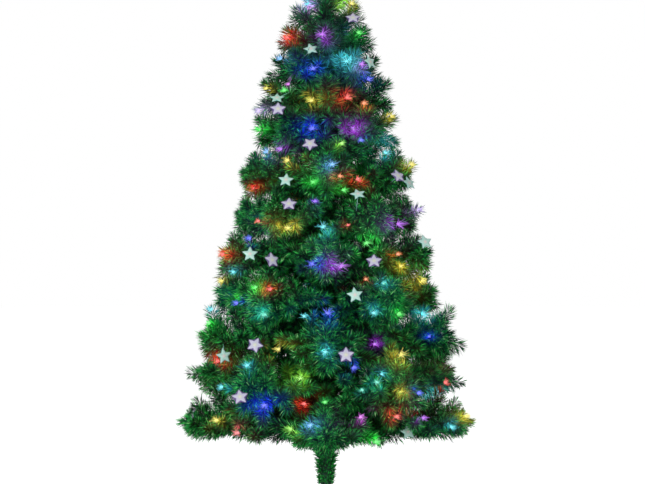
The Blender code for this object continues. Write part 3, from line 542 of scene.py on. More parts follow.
@dataclass
class Needles:
    """How the film needles are laid on a sprig."""

    per_metre: float = 2250.0
    fewest: int = 24
    width: float = 0.0023
    widths: Pair = (0.75, 1.2)
    lengths: Pair = (0.74, 1.06)
    keel_share: float = 0.35
    widest_share: float = 0.58
    splay: float = math.radians(52.0)
    splay_noise: float = 0.12
    tip_splay: float = math.radians(24.0)
    tip_zone: float = 0.84
    growth: float = 0.62
    grown: float = 0.38
    growth_zone: float = 0.3
    sag: float = 0.06
    blunt: float = 0.05
    cell_share: float = 0.9
    body_tone: float = 0.20
    needle_noise: float = 0.32
    sprig_noise: float = 0.09
    # paler: painted highlight at the needles' tips
    paler: float = 0.48
    painted_glint_share: float = 0.075
    painted_glint: tuple[float, float, float, float] = (0.5, 1.0, 1.0, 1.0)
    rng: np.random.Generator = field(default_factory=lambda: np.random.default_rng(7))

    def lay(self, sprig: Sprig) -> tuple[Points, Points]:
        """Lay a sprig's needles.

        Needle i leaves the wire at t = bare + (1 - bare) * (i + noise) / n and at i golden angles
        round it. It leans forward by a splay that closes from the body's to the tip's along the
        last stretch. It is radius / sin(splay of the body) long, give or take a sixth, and shorter
        near the sprig's root. No needle passes the sprig's length, so that the end is blunt.

        Args:
            sprig: the wire.

        Returns:
            (blades, tones): (n, 4, 3) vertices as root, tip, left and right, and their (n, 4)
            tones, with painted shade at the root and a painted highlight at the tip.
        """
        rng = self.rng
        count = max(int(self.per_metre * sprig.wire * (1.0 - sprig.bare)), self.fewest)
        number = np.arange(count)
        share = sprig.bare + (1.0 - sprig.bare) * (number + rng.random(count)) / count
        angle = number * GOLDEN_ANGLE + rng.normal(0.0, 0.35, count)
        heading = sprig.slope(share)
        closing = smooth_step(share, self.tip_zone, 1.0)
        tip_splay = self.tip_splay * rng.random(count) ** 0.6 * 1.4
        splay = self.splay + (tip_splay - self.splay) * closing
        splay = splay + rng.normal(0.0, self.splay_noise, count) * (1.0 - closing)
        direction = unit(heading * np.cos(splay)[:, None] + around(heading, angle) * np.sin(splay)[:, None])
        growth = self.growth + self.grown * smooth_step(share, sprig.bare, sprig.bare + self.growth_zone)
        length = sprig.radius / math.sin(self.splay) * growth * rng.uniform(*self.lengths, count)
        root = sprig.line(share)
        room = sprig.length * (1.0 - self.blunt * rng.random(count)) - (root - sprig.start) @ sprig.heading
        length = np.minimum(length, room / np.maximum(direction @ sprig.heading, 0.1))
        tip = root + direction * length[:, None]
        tip[:, 2] -= self.sag * length * rng.random(count)
        spin = rng.uniform(0.0, math.tau, count)
        half = self.width / 2 * rng.uniform(*self.widths, count)[:, None]
        keel = self.width * self.keel_share
        blades = folded_blades(root, tip, direction, spin, self.widest_share, keel, half)
        # tone varies at random by needle and by sprig; blade_tones then adds painted shade at the root and a
        # painted highlight at the tip
        body = rng.normal(self.body_tone, self.needle_noise, count) + rng.normal(0.0, self.sprig_noise)
        tones = blade_tones(body, self.paler)
        # a share of needles is painted bright whole, as painted glints
        tones[rng.random(count) < self.painted_glint_share] = self.painted_glint
        return blades, tones

    @staticmethod
    def faces(count: int) -> Faces:
        """Return the four faces of each blade: two folded along its width, two along its keel."""
        one = np.array([[0, 3, 2], [1, 2, 3], [0, 2, 1], [0, 1, 3]])
        return (np.arange(count)[:, None, None] * 4 + one[None]).reshape(-1, 3)

    def cells(self, count: int) -> Points:
        """Return a small square of the UV map for each needle: tip up, root down, sides across."""
        columns = math.ceil(math.sqrt(count))
        number = np.arange(count)
        corner = np.stack([number % columns, number // columns], axis=-1) / columns
        place = np.array([[0.5, 0.0], [0.5, 1.0], [0.0, 0.58], [1.0, 0.58]]) * self.cell_share
        return corner[:, None, :] + (place + (1.0 - self.cell_share) / 2)[None] / columns


@dataclass(frozen=True)
class GlowField:
    """How far a bunch of lit ends paints its coloured light on the needles round it, as painted glow."""

    stretch: Triple = (0.88, 0.88, 1.4)
    far_share: float = 0.05
    far_square: float = 5.3
    hot_share: float = 0.45
    hot_square: float = 0.06
    margin: float = 0.16

    def at(self, points: Points, lights: list[Light]) -> Points:
        """Return the painted coloured light that lands on points.

        Each light gives power * (colour * (exp(-q) + far share * exp(-q / far square)) + white *
        hot share * exp(-q / hot square)). q is the squared distance over the squared reach, each
        axis of the distance first stretched. Only lights within the margin of the points count.

        Args:
            points: rows of points.
            lights: every bunch of lit ends.

        Returns:
            A linear colour for each point.
        """
        points = np.asarray(points, np.float32)
        found = np.zeros_like(points)
        low, high = points.min(0) - self.margin, points.max(0) + self.margin
        stretch = np.array(self.stretch, np.float32)
        for light in lights:
            centre = np.array(light.centre, np.float32)
            if np.any(centre < low) or np.any(centre > high):
                continue
            square = (((points - centre) * stretch) ** 2).sum(axis=1) / light.reach ** 2
            near = np.exp(-square) + self.far_share * np.exp(-square / self.far_square)
            hot = self.hot_share * np.exp(-square / self.hot_square)
            found += light.power * (near[:, None] * np.array(light.colour, np.float32) + hot[:, None])
        return found


@dataclass
class Star:
    """A five-pointed star of translucent film with ridged, softly rounded arms."""

    radius: float = 0.0255
    waists: Pair = (0.50, 0.67)
    inner_waist: float = 0.44
    thickness: float = 0.0052
    rings: int = 6
    per_edge: int = 3
    stalk_radius: float = 0.0009

    def outline(self, kind: Heart) -> tuple[Points, Points]:
        """Return (angles, reaches) of the outline: straight edges from tip to waist, tips rounded."""
        corners = np.arange(11)
        angle = corners * math.pi / 5
        reach = np.where(corners % 2 == 0, 1.0, self.waists[kind is Heart.YELLOW])
        flat = np.stack([reach * np.cos(angle), reach * np.sin(angle)], axis=-1)
        share = np.arange(self.per_edge)[:, None, None] / self.per_edge
        edge = (flat[None, :-1] * (1 - share) + flat[None, 1:] * share).transpose(1, 0, 2).reshape(-1, 2)
        reach = np.minimum(np.hypot(edge[:, 0], edge[:, 1]), 0.965)
        return np.arctan2(edge[:, 1], edge[:, 0]), reach

    def shape(
        self, centre: Points, normal: Points, up: Points, kind: Heart,
    ) -> tuple[Points, Faces, Points, Points]:
        """Make one star.

        The height over its middle plane is half the thickness * (1 - s)^0.6, where s is the share
        of the way from the heart to the outline, so that each arm has a ridge along its middle.

        Args:
            centre: its heart.
            normal: the way its face looks.
            up: the way its first arm points, roughly.
            kind: the yellow-hearted star has a broad purple rim between its arms.

        Returns:
            (points, faces, shares, rims): shares is s at each vertex, and rims is its reach over
            w * sin(pi/5) / (sin(a) + w * sin(pi/5 - a)), the edge of a star with the inner waist w at
            the angle a from an arm's middle.
        """
        side = unit(np.cross(up, normal))
        top = np.cross(normal, side)
        angle, reach = self.outline(kind)
        count = len(angle)
        share = np.linspace(1.0 / self.rings, 1.0, self.rings)
        levels = np.concatenate([share, share[-2::-1]])
        sign = np.concatenate([np.ones(self.rings), -np.ones(self.rings - 1)])
        height = sign * self.thickness / 2 * (1.0 - levels) ** 0.6
        flat = levels[:, None] * reach[None, :] * self.radius
        points = (
            centre
            + top * (flat * np.cos(angle))[..., None]
            + side * (flat * np.sin(angle))[..., None]
            + normal * np.broadcast_to(height[:, None], flat.shape)[..., None]
        ).reshape(-1, 3)
        rows = len(levels)
        hearts = np.array([centre + normal * self.thickness / 2, centre - normal * self.thickness / 2])
        points = np.concatenate([points, hearts])
        body = grid_faces(rows, count)
        body = np.concatenate([body[:, [0, 2, 1]], body[:, [0, 3, 2]]])
        front = fan_faces(0, count, rows * count, outward=True)
        back = fan_faces((rows - 1) * count, count, rows * count + 1, outward=False)
        shares = np.concatenate([np.repeat(levels, count), [0.0, 0.0]])
        fifth = math.pi / 5
        folded = np.abs((angle + fifth) % (2 * fifth) - fifth)
        nearer = np.sin(folded) + self.inner_waist * np.sin(fifth - folded)
        inner = self.inner_waist * math.sin(fifth) / nearer
        rims = np.concatenate([(levels[:, None] * (reach / inner)[None, :]).ravel(), [0.0, 0.0]])
        return points, np.concatenate([body, front, back]), shares, rims


@dataclass
class Fibres:
    """Loose ends of plastic fibre that burst out of a brush."""

    per_light: int = 34
    radius: float = 0.0005
    sides: int = 3
    neck: float = 0.93
    neck_radius: float = 0.9
    spread: float = math.radians(56.0)
    back_share: float = 0.35
    flatness: float = 0.72
    root_gap: float = 0.002
    lengths: Pair = (0.4, 1.15)
    leads: int = 5
    lead_width: float = 0.8
    lead_glow: float = 0.12
    fading: float = 0.3
    hot: float = 0.5
    hot_share: float = 0.3
    rng: np.random.Generator = field(default_factory=lambda: np.random.default_rng(31))

    def spikes(self, roots: Points, tips: Points) -> tuple[Points, Faces]:
        """Return three-sided spikes from roots to tips: a ring of three, a smaller ring and a point."""
        sides = self.sides
        ring = rings_round(unit(tips - roots), sides)
        low = roots[:, None] + ring * self.radius
        high = (roots + (tips - roots) * self.neck)[:, None] + ring * self.radius * self.neck_radius
        points = np.concatenate([low, high, tips[:, None]], axis=1)
        cap = fan_faces(sides, sides, 2 * sides, outward=True)
        one = np.concatenate([triangles(grid_faces(2, sides)), cap, [[0, 2, 1]]])
        faces = np.arange(len(roots))[:, None, None] * points.shape[1] + one[None]
        return points.reshape(-1, 3), faces.reshape(-1, 3)

    def burst(self, light: Light) -> tuple[Points, Points]:
        """Return (roots, tips) of a light's fibre ends, over a flattened cone round its outward way."""
        count = self.per_light
        angle = np.arange(count) * GOLDEN_ANGLE + self.rng.normal(0.0, 0.2, count)
        lean = self.spread * np.sqrt((np.arange(count) + 0.5) / count)
        aim = light.outward * np.cos(lean)[:, None]
        aim = aim + around(light.outward, angle) * np.sin(lean)[:, None]
        aim = aim * [1.0, 1.0, self.flatness]
        length = light.reach * self.rng.uniform(*self.lengths, count)
        apex = light.centre - light.outward * light.reach * self.back_share
        return apex + aim * self.root_gap, apex + aim * length[:, None]

    def glow(self, light: Light, points: Points) -> Points:
        """Return colour * (1 - a * d) + white * h * exp(-(d / s)^2), with d the distance in reaches."""
        away = np.linalg.norm(points - light.centre, axis=1) / light.reach
        hot = np.exp(-(away / self.hot_share) ** 2)[:, None]
        return np.array(light.colour) * (1.0 - self.fading * away[:, None].clip(0.0, 1.0)) + hot * self.hot


@dataclass
class Limb:
    """What one moving body of the crown carries: sprigs, those that may bear stars, and its pin."""

    body: str
    sprigs: list[Sprig]
    star_sprigs: list[int]
    pin: tuple[Points, Points] | None = None
    split: int | None = None


@dataclass(frozen=True)
class Axes:
    """A branch's own axes: forward along it, side level and across it, and up."""

    forward: Points
    side: Points
    up: Points

    @classmethod
    def of(cls, azimuth: float, slope: float) -> "Axes":
        """Return the axes of a branch that leaves the trunk at an azimuth and rises by a slope."""
        c, s = math.cos(azimuth), math.sin(azimuth)
        forward = np.array([c * math.cos(slope), s * math.cos(slope), math.sin(slope)])
        side = np.array([-s, c, 0.0])
        return cls(forward, side, np.cross(forward, side))

    def heading(self, turn: float, lift: float) -> Points:
        """Return forward * cos(turn) * cos(lift) + side * sin(turn) * cos(lift) + up * sin(lift)."""
        ahead = math.cos(turn) * math.cos(lift)
        return self.forward * ahead + self.side * math.sin(turn) * math.cos(lift) + self.up * math.sin(lift)


@dataclass(frozen=True)
class TwigRule:
    """Where a twig leaves its branch: shares of the branch's length, and its turn and lift."""

    start: float
    length: float
    spread: float
    lift: float


def rules(*rows: tuple[float, float, float, float]) -> tuple[TwigRule, ...]:
    """Return twig rules from rows of start, length, spread and lift, the last two in degrees."""
    return tuple(TwigRule(a, b, math.radians(c), math.radians(d)) for a, b, c, d in rows)


@dataclass
class BranchTiers:
    """The seven tiers of hinged branches, laid on the hinges that the frame gives."""

    bottom_reach: float = 0.474
    reach_shares: Floats = (1.0, 0.928, 0.87, 0.80, 0.73, 0.655, 0.59)
    front_share: float = 0.964
    hinge_radius: float = 0.026
    incline: float = math.radians(5.0)
    incline_step: float = math.radians(1.5)
    brush_radius: float = 0.037
    top_brush_radius: float = 0.031
    twig_share: float = 0.9
    brush_start: float = 0.03
    pin_length: float = 0.016
    shaped: tuple[TwigRule, ...] = rules(
        (0.30, 0.42, 44, 9), (0.38, 0.40, -42, 5), (0.56, 0.36, 36, -4), (0.64, 0.30, -33, 8),
    )
    shaped_counts: tuple[int, ...] = (4, 4, 3, 3, 2, 2, 2)
    fillers: tuple[TwigRule, ...] = rules(
        (0.16, 0.36, -62, 8), (0.14, 0.36, 60, -6), (0.36, 0.29, -24, 38), (0.26, 0.28, -16, -40),
        (0.52, 0.27, 22, 35), (0.54, 0.26, -22, -32), (0.22, 0.30, 14, 42), (0.40, 0.28, 24, -36),
        (0.76, 0.24, 26, 4), (0.77, 0.24, -25, -4), (0.66, 0.25, -12, 31), (0.70, 0.23, 8, -27),
        (0.30, 0.32, -40, 22), (0.32, 0.32, 38, -22), (0.80, 0.19, 10, 24), (0.05, 0.24, 28, 50),
        (0.08, 0.24, -30, -52), (0.12, 0.25, -26, 46), (0.15, 0.25, 24, -48), (0.36, 0.44, 66, -10),
        (0.42, 0.42, -64, 10), (0.56, 0.33, -54, -14), (0.58, 0.33, 56, 12), (0.62, 0.26, 30, -30),
        (0.60, 0.27, -32, 28), (0.74, 0.21, -26, -24), (0.44, 0.30, 40, 30), (0.46, 0.30, -42, -28),
        (0.70, 0.26, 12, 36), (0.72, 0.26, -12, -36), (0.24, 0.32, 42, 40), (0.22, 0.32, -44, -38),
        (0.80, 0.18, -14, 26), (0.80, 0.18, 12, -28), (0.58, 0.32, 4, 52), (0.60, 0.30, -4, -50),
        (0.70, 0.25, -6, 44), (0.72, 0.25, 6, -42), (0.80, 0.18, 2, 36), (0.82, 0.17, -2, -34),
    )
    filler_lengths: Pair = (0.9, 1.1)
    shaped_share: float = 1.04
    first_drop: float = 0.35
    end_share: float = 0.93
    main_bend: float = 0.006
    main_wire: float = 0.0017
    twig_bend: float = 0.004
    rising: tuple[TwigRule, ...] = rules(
        (0.45, 0.40, 6, 42), (0.62, 0.33, -16, 38), (0.30, 0.40, 18, 48), (0.52, 0.36, -38, 32),
        (0.50, 0.36, 40, 34),
    )
    stubby: float = 0.4
    wobble: float = math.radians(4.0)

    def limb(self, joint: dict, rng: np.random.Generator) -> Limb:
        """Lay one branch's sprigs.

        A twig starts at its share of the branch and heads along forward * cos(spread) * cos(lift)
        + side * sin(spread) * cos(lift) + up * sin(lift), in the branch's own axes.

        Args:
            joint: the record's fold joint of this branch.
            rng: the wobble of its twigs.

        Returns:
            The branch's limb.
        """
        tier, number = (int(part) - 1 for part in joint["name"].split("_")[1:])
        axis = joint["axis"]
        slope = self.incline + self.incline_step * tier
        axes = Axes.of(math.atan2(axis[0], -axis[1]), slope)
        share = self.reach_shares[tier] * (self.front_share if tier < 2 and number == 0 else 1.0)
        length = (self.bottom_reach * share - self.hinge_radius) / math.cos(slope)
        last = len(self.reach_shares) - 1
        radius = self.brush_radius + (self.top_brush_radius - self.brush_radius) * (tier / last)
        hinge = np.array(joint["pos_m"])
        sprigs = [
            Sprig(
                hinge + axes.forward * self.brush_start, axes.forward, length - self.brush_start, radius,
                bare=0.02, bend=self.main_bend, wire_radius=self.main_wire,
            ),
        ]
        hand = 1 if tier % 2 == 0 else -1
        bushy = 1.0 - self.stubby + self.stubby * self.bottom_reach / (length + self.hinge_radius)
        shaped, thin = self.shaped_counts[tier], radius * self.twig_share
        for rule in self.shaped[:shaped]:
            heading = axes.heading(rule.spread * hand, self.dropped(rule.lift, tier))
            start = hinge + axes.forward * length * rule.start
            reach = length * rule.length * self.shaped_share
            sprigs.append(Sprig(start, heading, reach, thin, bare=0.06, bend=self.twig_bend))
        for rule in (*self.fillers, *(self.rising if tier == last else ())):
            turn = rule.spread * hand + rng.normal(0.0, self.wobble)
            lift = self.dropped(rule.lift + rng.normal(0.0, self.wobble), tier)
            reach = length * rule.length * (rng.uniform(*self.filler_lengths) * bushy)
            ahead = max(math.cos(turn) * math.cos(lift), 0.2)
            reach = min(reach, length * (self.end_share - rule.start) / ahead)
            heading = axes.heading(turn, lift)
            start = hinge + axes.forward * length * rule.start
            sprigs.append(Sprig(start, heading, reach, thin, bare=0.06, bend=self.twig_bend))
        half_pin = axes.side * self.pin_length / 2
        body = f"branch_{tier + 1}_{number + 1}"
        return Limb(body, sprigs, list(range(1 + shaped)), (hinge - half_pin, hinge + half_pin))

    def dropped(self, lift: float, tier: int) -> float:
        """Return a twig's lift, its drop made smaller in the lowest tier."""
        return lift * self.first_drop if tier == 0 and lift < 0.0 else lift

    def limbs(self) -> list[Limb]:
        """Return the thirty-five branches in the order of their joints."""
        folds = [joint for joint in frame["joints"] if joint["name"].startswith("fold_")]
        return [self.limb(joint, np.random.default_rng(100 + place)) for place, joint in enumerate(folds)]


@dataclass
class Treetop:
    """The one-piece treetop: a leader with six fixed whorls of brushes."""

    sprig_counts: tuple[int, ...] = (5, 5, 5, 5, 4, 3)
    height_shares: Floats = (0.066, 0.187, 0.31, 0.434, 0.557, 0.68)
    reach_shares: Floats = (0.50, 0.44, 0.365, 0.29, 0.215, 0.145)
    bottom_reach: float = 0.474
    incline: float = math.radians(30.0)
    incline_step: float = math.radians(5.0)
    start_radius: float = 0.006
    brush_radius: float = 0.035
    leader_radius: float = 0.034
    side_twigs: tuple[TwigRule, ...] = rules(
        (0.34, 0.46, 40, 4), (0.44, 0.42, -38, 8), (0.28, 0.42, 12, -52), (0.52, 0.38, -10, -44),
        (0.60, 0.32, 24, 14), (0.20, 0.40, -60, -8), (0.22, 0.40, 58, 6), (0.40, 0.34, -14, 32),
        (0.14, 0.44, -24, -58), (0.64, 0.34, 10, -56), (0.46, 0.36, 34, -34), (0.70, 0.26, -24, 26),
        (0.10, 0.40, 44, 30), (0.12, 0.40, -42, 34), (0.30, 0.40, 52, -30), (0.32, 0.40, -50, -30),
    )
    twig_counts: tuple[int, ...] = (16, 16, 14, 12, 9, 6)
    twig_share: float = 0.92
    twig_lengths: Pair = (0.95, 1.15)
    wobble: float = 0.07
    crest_heights: Floats = (0.74, 0.79, 0.84)
    crest_lengths: Floats = (0.105, 0.09, 0.075)
    crest_count: int = 3
    crest_turn: float = math.radians(40.0)
    crest_incline: float = math.radians(62.0)
    crest_share: float = 0.8
    leader_start: float = 0.1
    leader_wire: float = 0.008
    whorl_bend: float = 0.003
    tip_room: float = 0.002
    lower_split: int = 90

    def limb(self) -> Limb:
        """Lay the leader and its whorls, each sprig rising at its whorl's incline.

        Returns:
            The treetop's limb.
        """
        rng = np.random.default_rng(55)
        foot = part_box("upper_pole")[1].z
        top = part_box("treetop")[1].z
        leader_foot = foot + (top - foot) * self.leader_start
        leader = Sprig(
            np.array([0.0, 0.0, leader_foot]), np.array([0.0, 0.0, 1.0]), top - leader_foot - self.tip_room,
            self.leader_radius, bare=0.0, wire_radius=self.leader_wire,
        )
        sprigs, carriers, thin = [leader], [], self.brush_radius * self.twig_share
        for whorl, count in enumerate(self.sprig_counts):
            slope = self.incline + self.incline_step * whorl
            length = self.bottom_reach * self.reach_shares[whorl] / math.cos(slope)
            height = foot + (top - foot) * self.height_shares[whorl]
            first = math.pi / 2 if whorl % 2 == 0 else -math.pi / 2
            for number in range(count):
                azimuth = first + math.tau * number / count
                axes = Axes.of(azimuth, slope)
                radial = np.array([math.cos(azimuth), math.sin(azimuth), 0.0])
                start = np.array([0.0, 0.0, height]) + radial * self.start_radius
                carriers.append(len(sprigs))
                whole = Sprig(start, axes.forward, length, self.brush_radius, bare=0.03, bend=self.whorl_bend)
                sprigs.append(whole)
                for rule in self.side_twigs[: self.twig_counts[whorl]]:
                    turn = rule.spread + rng.normal(0.0, self.wobble)
                    lift = rule.lift + rng.normal(0.0, self.wobble)
                    root = start + axes.forward * length * rule.start
                    reach = length * rule.length * rng.uniform(*self.twig_lengths)
                    sprigs.append(Sprig(root, axes.heading(turn, lift), reach, thin))
        for level, (share, length) in enumerate(zip(self.crest_heights, self.crest_lengths)):
            height = foot + (top - foot) * share
            for number in range(self.crest_count):
                azimuth = self.crest_turn * level + math.tau * number / self.crest_count
                heading = unit(np.array([math.cos(azimuth), math.sin(azimuth), math.tan(self.crest_incline)]))
                start = np.array([0.0, 0.0, height])
                sprigs.append(Sprig(start, heading, length, self.brush_radius * self.crest_share))
        return Limb("treetop", sprigs, carriers, split=self.lower_split)


class SocketMaths:
    """A shader value that takes + and * as Math nodes."""

    def __init__(self, nodes: "NodeTree", socket: bpy.types.NodeSocket) -> None:
        """Wrap an output socket."""
        self.nodes = nodes
        self.socket = socket

    def _math(self, operation: str, *values: "SocketMaths | float") -> "SocketMaths":
        """Add one Math node."""
        return self.nodes.node("ShaderNodeMath", {"operation": operation}, dict(enumerate(values)))

    def __add__(self, other: "SocketMaths | float") -> "SocketMaths":
        """Return self + other."""
        return self._math("ADD", self, other)

    def __radd__(self, other: float) -> "SocketMaths":
        """Return other + self."""
        return self._math("ADD", other, self)

    def __mul__(self, other: "SocketMaths | float") -> "SocketMaths":
        """Return self * other."""
        return self._math("MULTIPLY", self, other)


class NodeTree:
    """Adds nodes to one tree and links them."""

    def __init__(self, tree: bpy.types.NodeTree) -> None:
        """Take the tree."""
        self.tree = tree

    def put(self, target: bpy.types.NodeSocket, value: object) -> None:
        """Link a wrapped value to a socket, or write a plain one."""
        if isinstance(value, SocketMaths):
            self.tree.links.new(value.socket, target)
        elif isinstance(value, tuple) and len(value) == 3 and target.type == "RGBA":
            target.default_value = (*value, 1.0)
        else:
            target.default_value = value

    def node(
        self,
        kind: str,
        settings: dict[str, object] | None = None,
        inputs: dict[str | int, object] | None = None,
        output: str | int = 0,
    ) -> SocketMaths:
        """Add any node.

        Args:
            kind: its type.
            settings: its own settings, set first.
            inputs: values or links for its sockets, by name or number.
            output: the output to wrap.

        Returns:
            The wrapped output.
        """
        made = self.tree.nodes.new(kind)
        for key, value in (settings or {}).items():
            setattr(made, key, value)
        for key, value in (inputs or {}).items():
            self.put(made.inputs[key], value)
        return SocketMaths(self, made.outputs[output])


class Recipe(NodeTree):
    """Builds one material's node tree."""

    def __init__(self, name: str) -> None:
        """Create the material with a Principled shader."""
        self.material = bpy.data.materials.new(name)
        self.material.use_nodes = True
        super().__init__(self.material.node_tree)
        self.shader = self.tree.nodes["Principled BSDF"]

    def attribute(self, name: str, output: str = "Fac") -> SocketMaths:
        """Return a mesh attribute."""
        return self.node("ShaderNodeAttribute", {"attribute_name": name}, output=output)

    def noise(self, scale: float, detail: float, stretch: Floats = (1.0, 1.0, 1.0)) -> SocketMaths:
        """Return noise on Object coordinates, stretched by a scale along each axis."""
        place = self.node("ShaderNodeTexCoord", output="Object")
        stretched = self.node("ShaderNodeMapping", inputs={"Vector": place, "Scale": stretch})
        return self.node("ShaderNodeTexNoise", inputs={"Vector": stretched, "Scale": scale, "Detail": detail})

    def mix(self, share: SocketMaths | float, low: object, high: object) -> SocketMaths:
        """Return a colour between two."""
        settings = {"data_type": "RGBA", "clamp_factor": True}
        return self.node("ShaderNodeMix", settings, {0: share, 6: low, 7: high}, output=2)

    def spread(
        self, value: SocketMaths, low: float, high: float, to_low: float = 0.0, to_high: float = 1.0,
    ) -> SocketMaths:
        """Return a value mapped in a straight line from one range to another, clamped."""
        inputs = {"Value": value, "From Min": low, "From Max": high, "To Min": to_low, "To Max": to_high}
        return self.node("ShaderNodeMapRange", inputs=inputs)

    def bump(self, height: SocketMaths, distance: float) -> SocketMaths:
        """Return a normal bumped by a height."""
        return self.node("ShaderNodeBump", inputs={"Height": height, "Distance": distance, "Strength": 1.0})

    def finish(self, **sockets: object) -> bpy.types.Material:
        """Fill the Principled shader's sockets, named with _ for spaces, and return the material."""
        for key, value in sockets.items():
            self.put(self.shader.inputs[key.replace("_", " ")], value)
        return self.material


@dataclass(frozen=True)
class NeedleFinish:
    """Green film, leaf green or teal in patches, with painted shade and highlight: near black at the roots
    and in the heart of the tree, bright green at the needles' ends.
    """

    shade: Triple = (0.001, 0.012, 0.006)
    leaf: Triple = (0.005, 0.205, 0.036)
    teal: Triple = (0.002, 0.125, 0.058)
    tip: Triple = (0.055, 0.880, 0.120)
    painted_glint: Triple = (0.360, 0.950, 0.320)
    roughness: float = 0.4

    def material(self) -> bpy.types.Material:
        """Return the material: colour from the needle's tone and painted shade, painted light from its glow.
        """
        recipe = Recipe("needle_film")
        tone = recipe.attribute("tone")
        patches = recipe.noise(9.0, 2.0)
        film = recipe.mix(recipe.spread(patches, 0.35, 0.65), self.leaf, self.teal)
        # painted shade: low tones go from the film's colour to near black
        body = recipe.mix(recipe.spread(tone, 0.0, 0.5), self.shade, film)
        # painted highlight: high tones go to bright green at the needles' ends
        colour = recipe.mix(recipe.spread(tone, 0.5, 0.86), body, self.tip)
        # painted glints: the highest tones make a few whole needles pale green
        colour = recipe.mix(recipe.spread(tone, 0.9, 1.0), colour, self.painted_glint)
        # painted light: the glow of the lit fibre ends near each needle, as emission
        glow = recipe.attribute("glow", "Color")
        return recipe.finish(
            Base_Color=colour, Roughness=self.roughness, Emission_Color=glow, Emission_Strength=1.0,
            Specular_IOR_Level=0.2,
        )


@dataclass(frozen=True)
class FibreFinish:
    """Clear plastic fibre that carries light to its end."""

    body: Triple = (0.12, 0.18, 0.15)
    roughness: float = 0.2

    def material(self) -> bpy.types.Material:
        """Return the material: its light comes from the glow along each fibre."""
        recipe = Recipe("fibre_ends")
        return recipe.finish(
            Base_Color=self.body, Roughness=self.roughness, IOR=1.49,
            Emission_Color=recipe.attribute("glow", "Color"), Emission_Strength=1.0,
        )


@dataclass(frozen=True)
class StarFinish:
    """Translucent white film, tinted at the heart and along the rim."""

    film: Triple = (0.42, 0.68, 0.60)
    lilac: Triple = (0.52, 0.50, 0.66)
    pink_heart: Triple = (0.78, 0.58, 0.56)
    yellow_heart: Triple = (0.66, 0.70, 0.46)
    teal_rim: Triple = (0.02, 0.40, 0.36)
    purple_rim: Triple = (0.05, 0.008, 0.18)
    fleck: Triple = (0.9, 0.92, 0.9)
    inner_light: Triple = (0.03, 0.033, 0.033)
    relief: float = 0.0002
    roughness: float = 0.35

    def material(self) -> bpy.types.Material:
        """Return the material: heart, film and rim follow the way out from the star's middle."""
        recipe = Recipe("star_film")
        out = recipe.attribute("out")
        kind = recipe.attribute("kind")
        heart = recipe.mix(kind, self.pink_heart, self.yellow_heart)
        film = recipe.mix(kind, self.film, self.lilac)
        rim = recipe.mix(kind, self.teal_rim, self.purple_rim)
        flecks = recipe.noise(420.0, 2.0)
        colour = recipe.mix(recipe.spread(out, 0.0, 0.42), heart, film)
        colour = recipe.mix(recipe.spread(recipe.attribute("rim"), 0.9, 1.08), colour, rim)
        colour = recipe.mix(recipe.spread(flecks, 0.5, 0.8, 0.0, 0.35), colour, self.fleck)
        return recipe.finish(
            Base_Color=colour, Roughness=self.roughness, Emission_Color=self.inner_light,
            Emission_Strength=1.0, Normal=recipe.bump(flecks, self.relief),
        )


@dataclass(frozen=True)
class WireFinish:
    """Green-coated soft wire, browned where the coat has rubbed."""

    coat: Triple = (0.018, 0.045, 0.020)
    rubbed: Triple = (0.10, 0.075, 0.05)

    def material(self) -> bpy.types.Material:
        """Return the material with fine rubs along the wire."""
        recipe = Recipe("wire_coat")
        rub = recipe.noise(90.0, 4.0)
        colour = recipe.mix(recipe.spread(rub, 0.52, 0.72, 0.0, 0.8), self.coat, self.rubbed)
        return recipe.finish(Base_Color=colour, Roughness=0.45)


@dataclass(frozen=True)
class PaintedSteel:
    """Sprayed steel with a fine orange-peel skin and paint worn thin in spots."""

    name: str
    paint: Triple
    shade: Triple
    roughness: float
    worn: float = 0.2
    bared: Triple = (0.36, 0.36, 0.34)
    relief: float = 0.00015

    def material(self) -> bpy.types.Material:
        """Return the material: broad patches of tone, a fine peel, and small bright chips."""
        recipe = Recipe(self.name)
        patches = recipe.noise(14.0, 4.0)
        peel = recipe.noise(700.0, 2.0)
        chips = recipe.noise(85.0, 5.0)
        chip = recipe.spread(chips, 0.70, 0.74, 0.0, self.worn)
        colour = recipe.mix(recipe.spread(patches, 0.3, 0.7), self.paint, self.shade)
        colour = recipe.mix(chip, colour, self.bared)
        roughness = recipe.spread(patches, 0.2, 0.8, self.roughness - 0.07, self.roughness + 0.1)
        return recipe.finish(
            Base_Color=colour, Roughness=roughness, Metallic=0.15 + chip * 0.8,
            Normal=recipe.bump(peel + chip * -2.0, self.relief),
        )


@dataclass(frozen=True)
class MouldedPlastic:
    """Moulded plastic with a satin grain."""

    name: str
    body: Triple
    worn: Triple
    roughness: float
    grain: float = 900.0
    relief: float = 0.00012

    def material(self) -> bpy.types.Material:
        """Return the material with a fine grain and faint flow marks."""
        recipe = Recipe(self.name)
        grain = recipe.noise(self.grain, 2.0)
        flow = recipe.noise(18.0, 3.0, (1.0, 1.0, 4.0))
        colour = recipe.mix(recipe.spread(flow, 0.35, 0.7, 0.0, 0.6), self.body, self.worn)
        roughness = recipe.spread(flow, 0.3, 0.7, self.roughness, self.roughness + 0.14)
        return recipe.finish(Base_Color=colour, Roughness=roughness, Normal=recipe.bump(grain, self.relief))


@dataclass(frozen=True)
class ZincPlate:
    """Bright zinc plate with a drawn grain and dull spots."""

    bright: Triple = (0.62, 0.63, 0.62)
    dull: Triple = (0.42, 0.42, 0.38)
    relief: float = 0.00008

    def material(self) -> bpy.types.Material:
        """Return the material: metal, brighter along its grain."""
        recipe = Recipe("zinc_plate")
        grain = recipe.noise(240.0, 3.0, (1.0, 1.0, 0.15))
        spots = recipe.noise(60.0, 4.0)
        colour = recipe.mix(recipe.spread(spots, 0.4, 0.7), self.bright, self.dull)
        roughness = recipe.spread(spots, 0.3, 0.7, 0.24, 0.45)
        normal = recipe.bump(grain, self.relief)
        return recipe.finish(Base_Color=colour, Roughness=roughness, Metallic=1.0, Normal=normal)


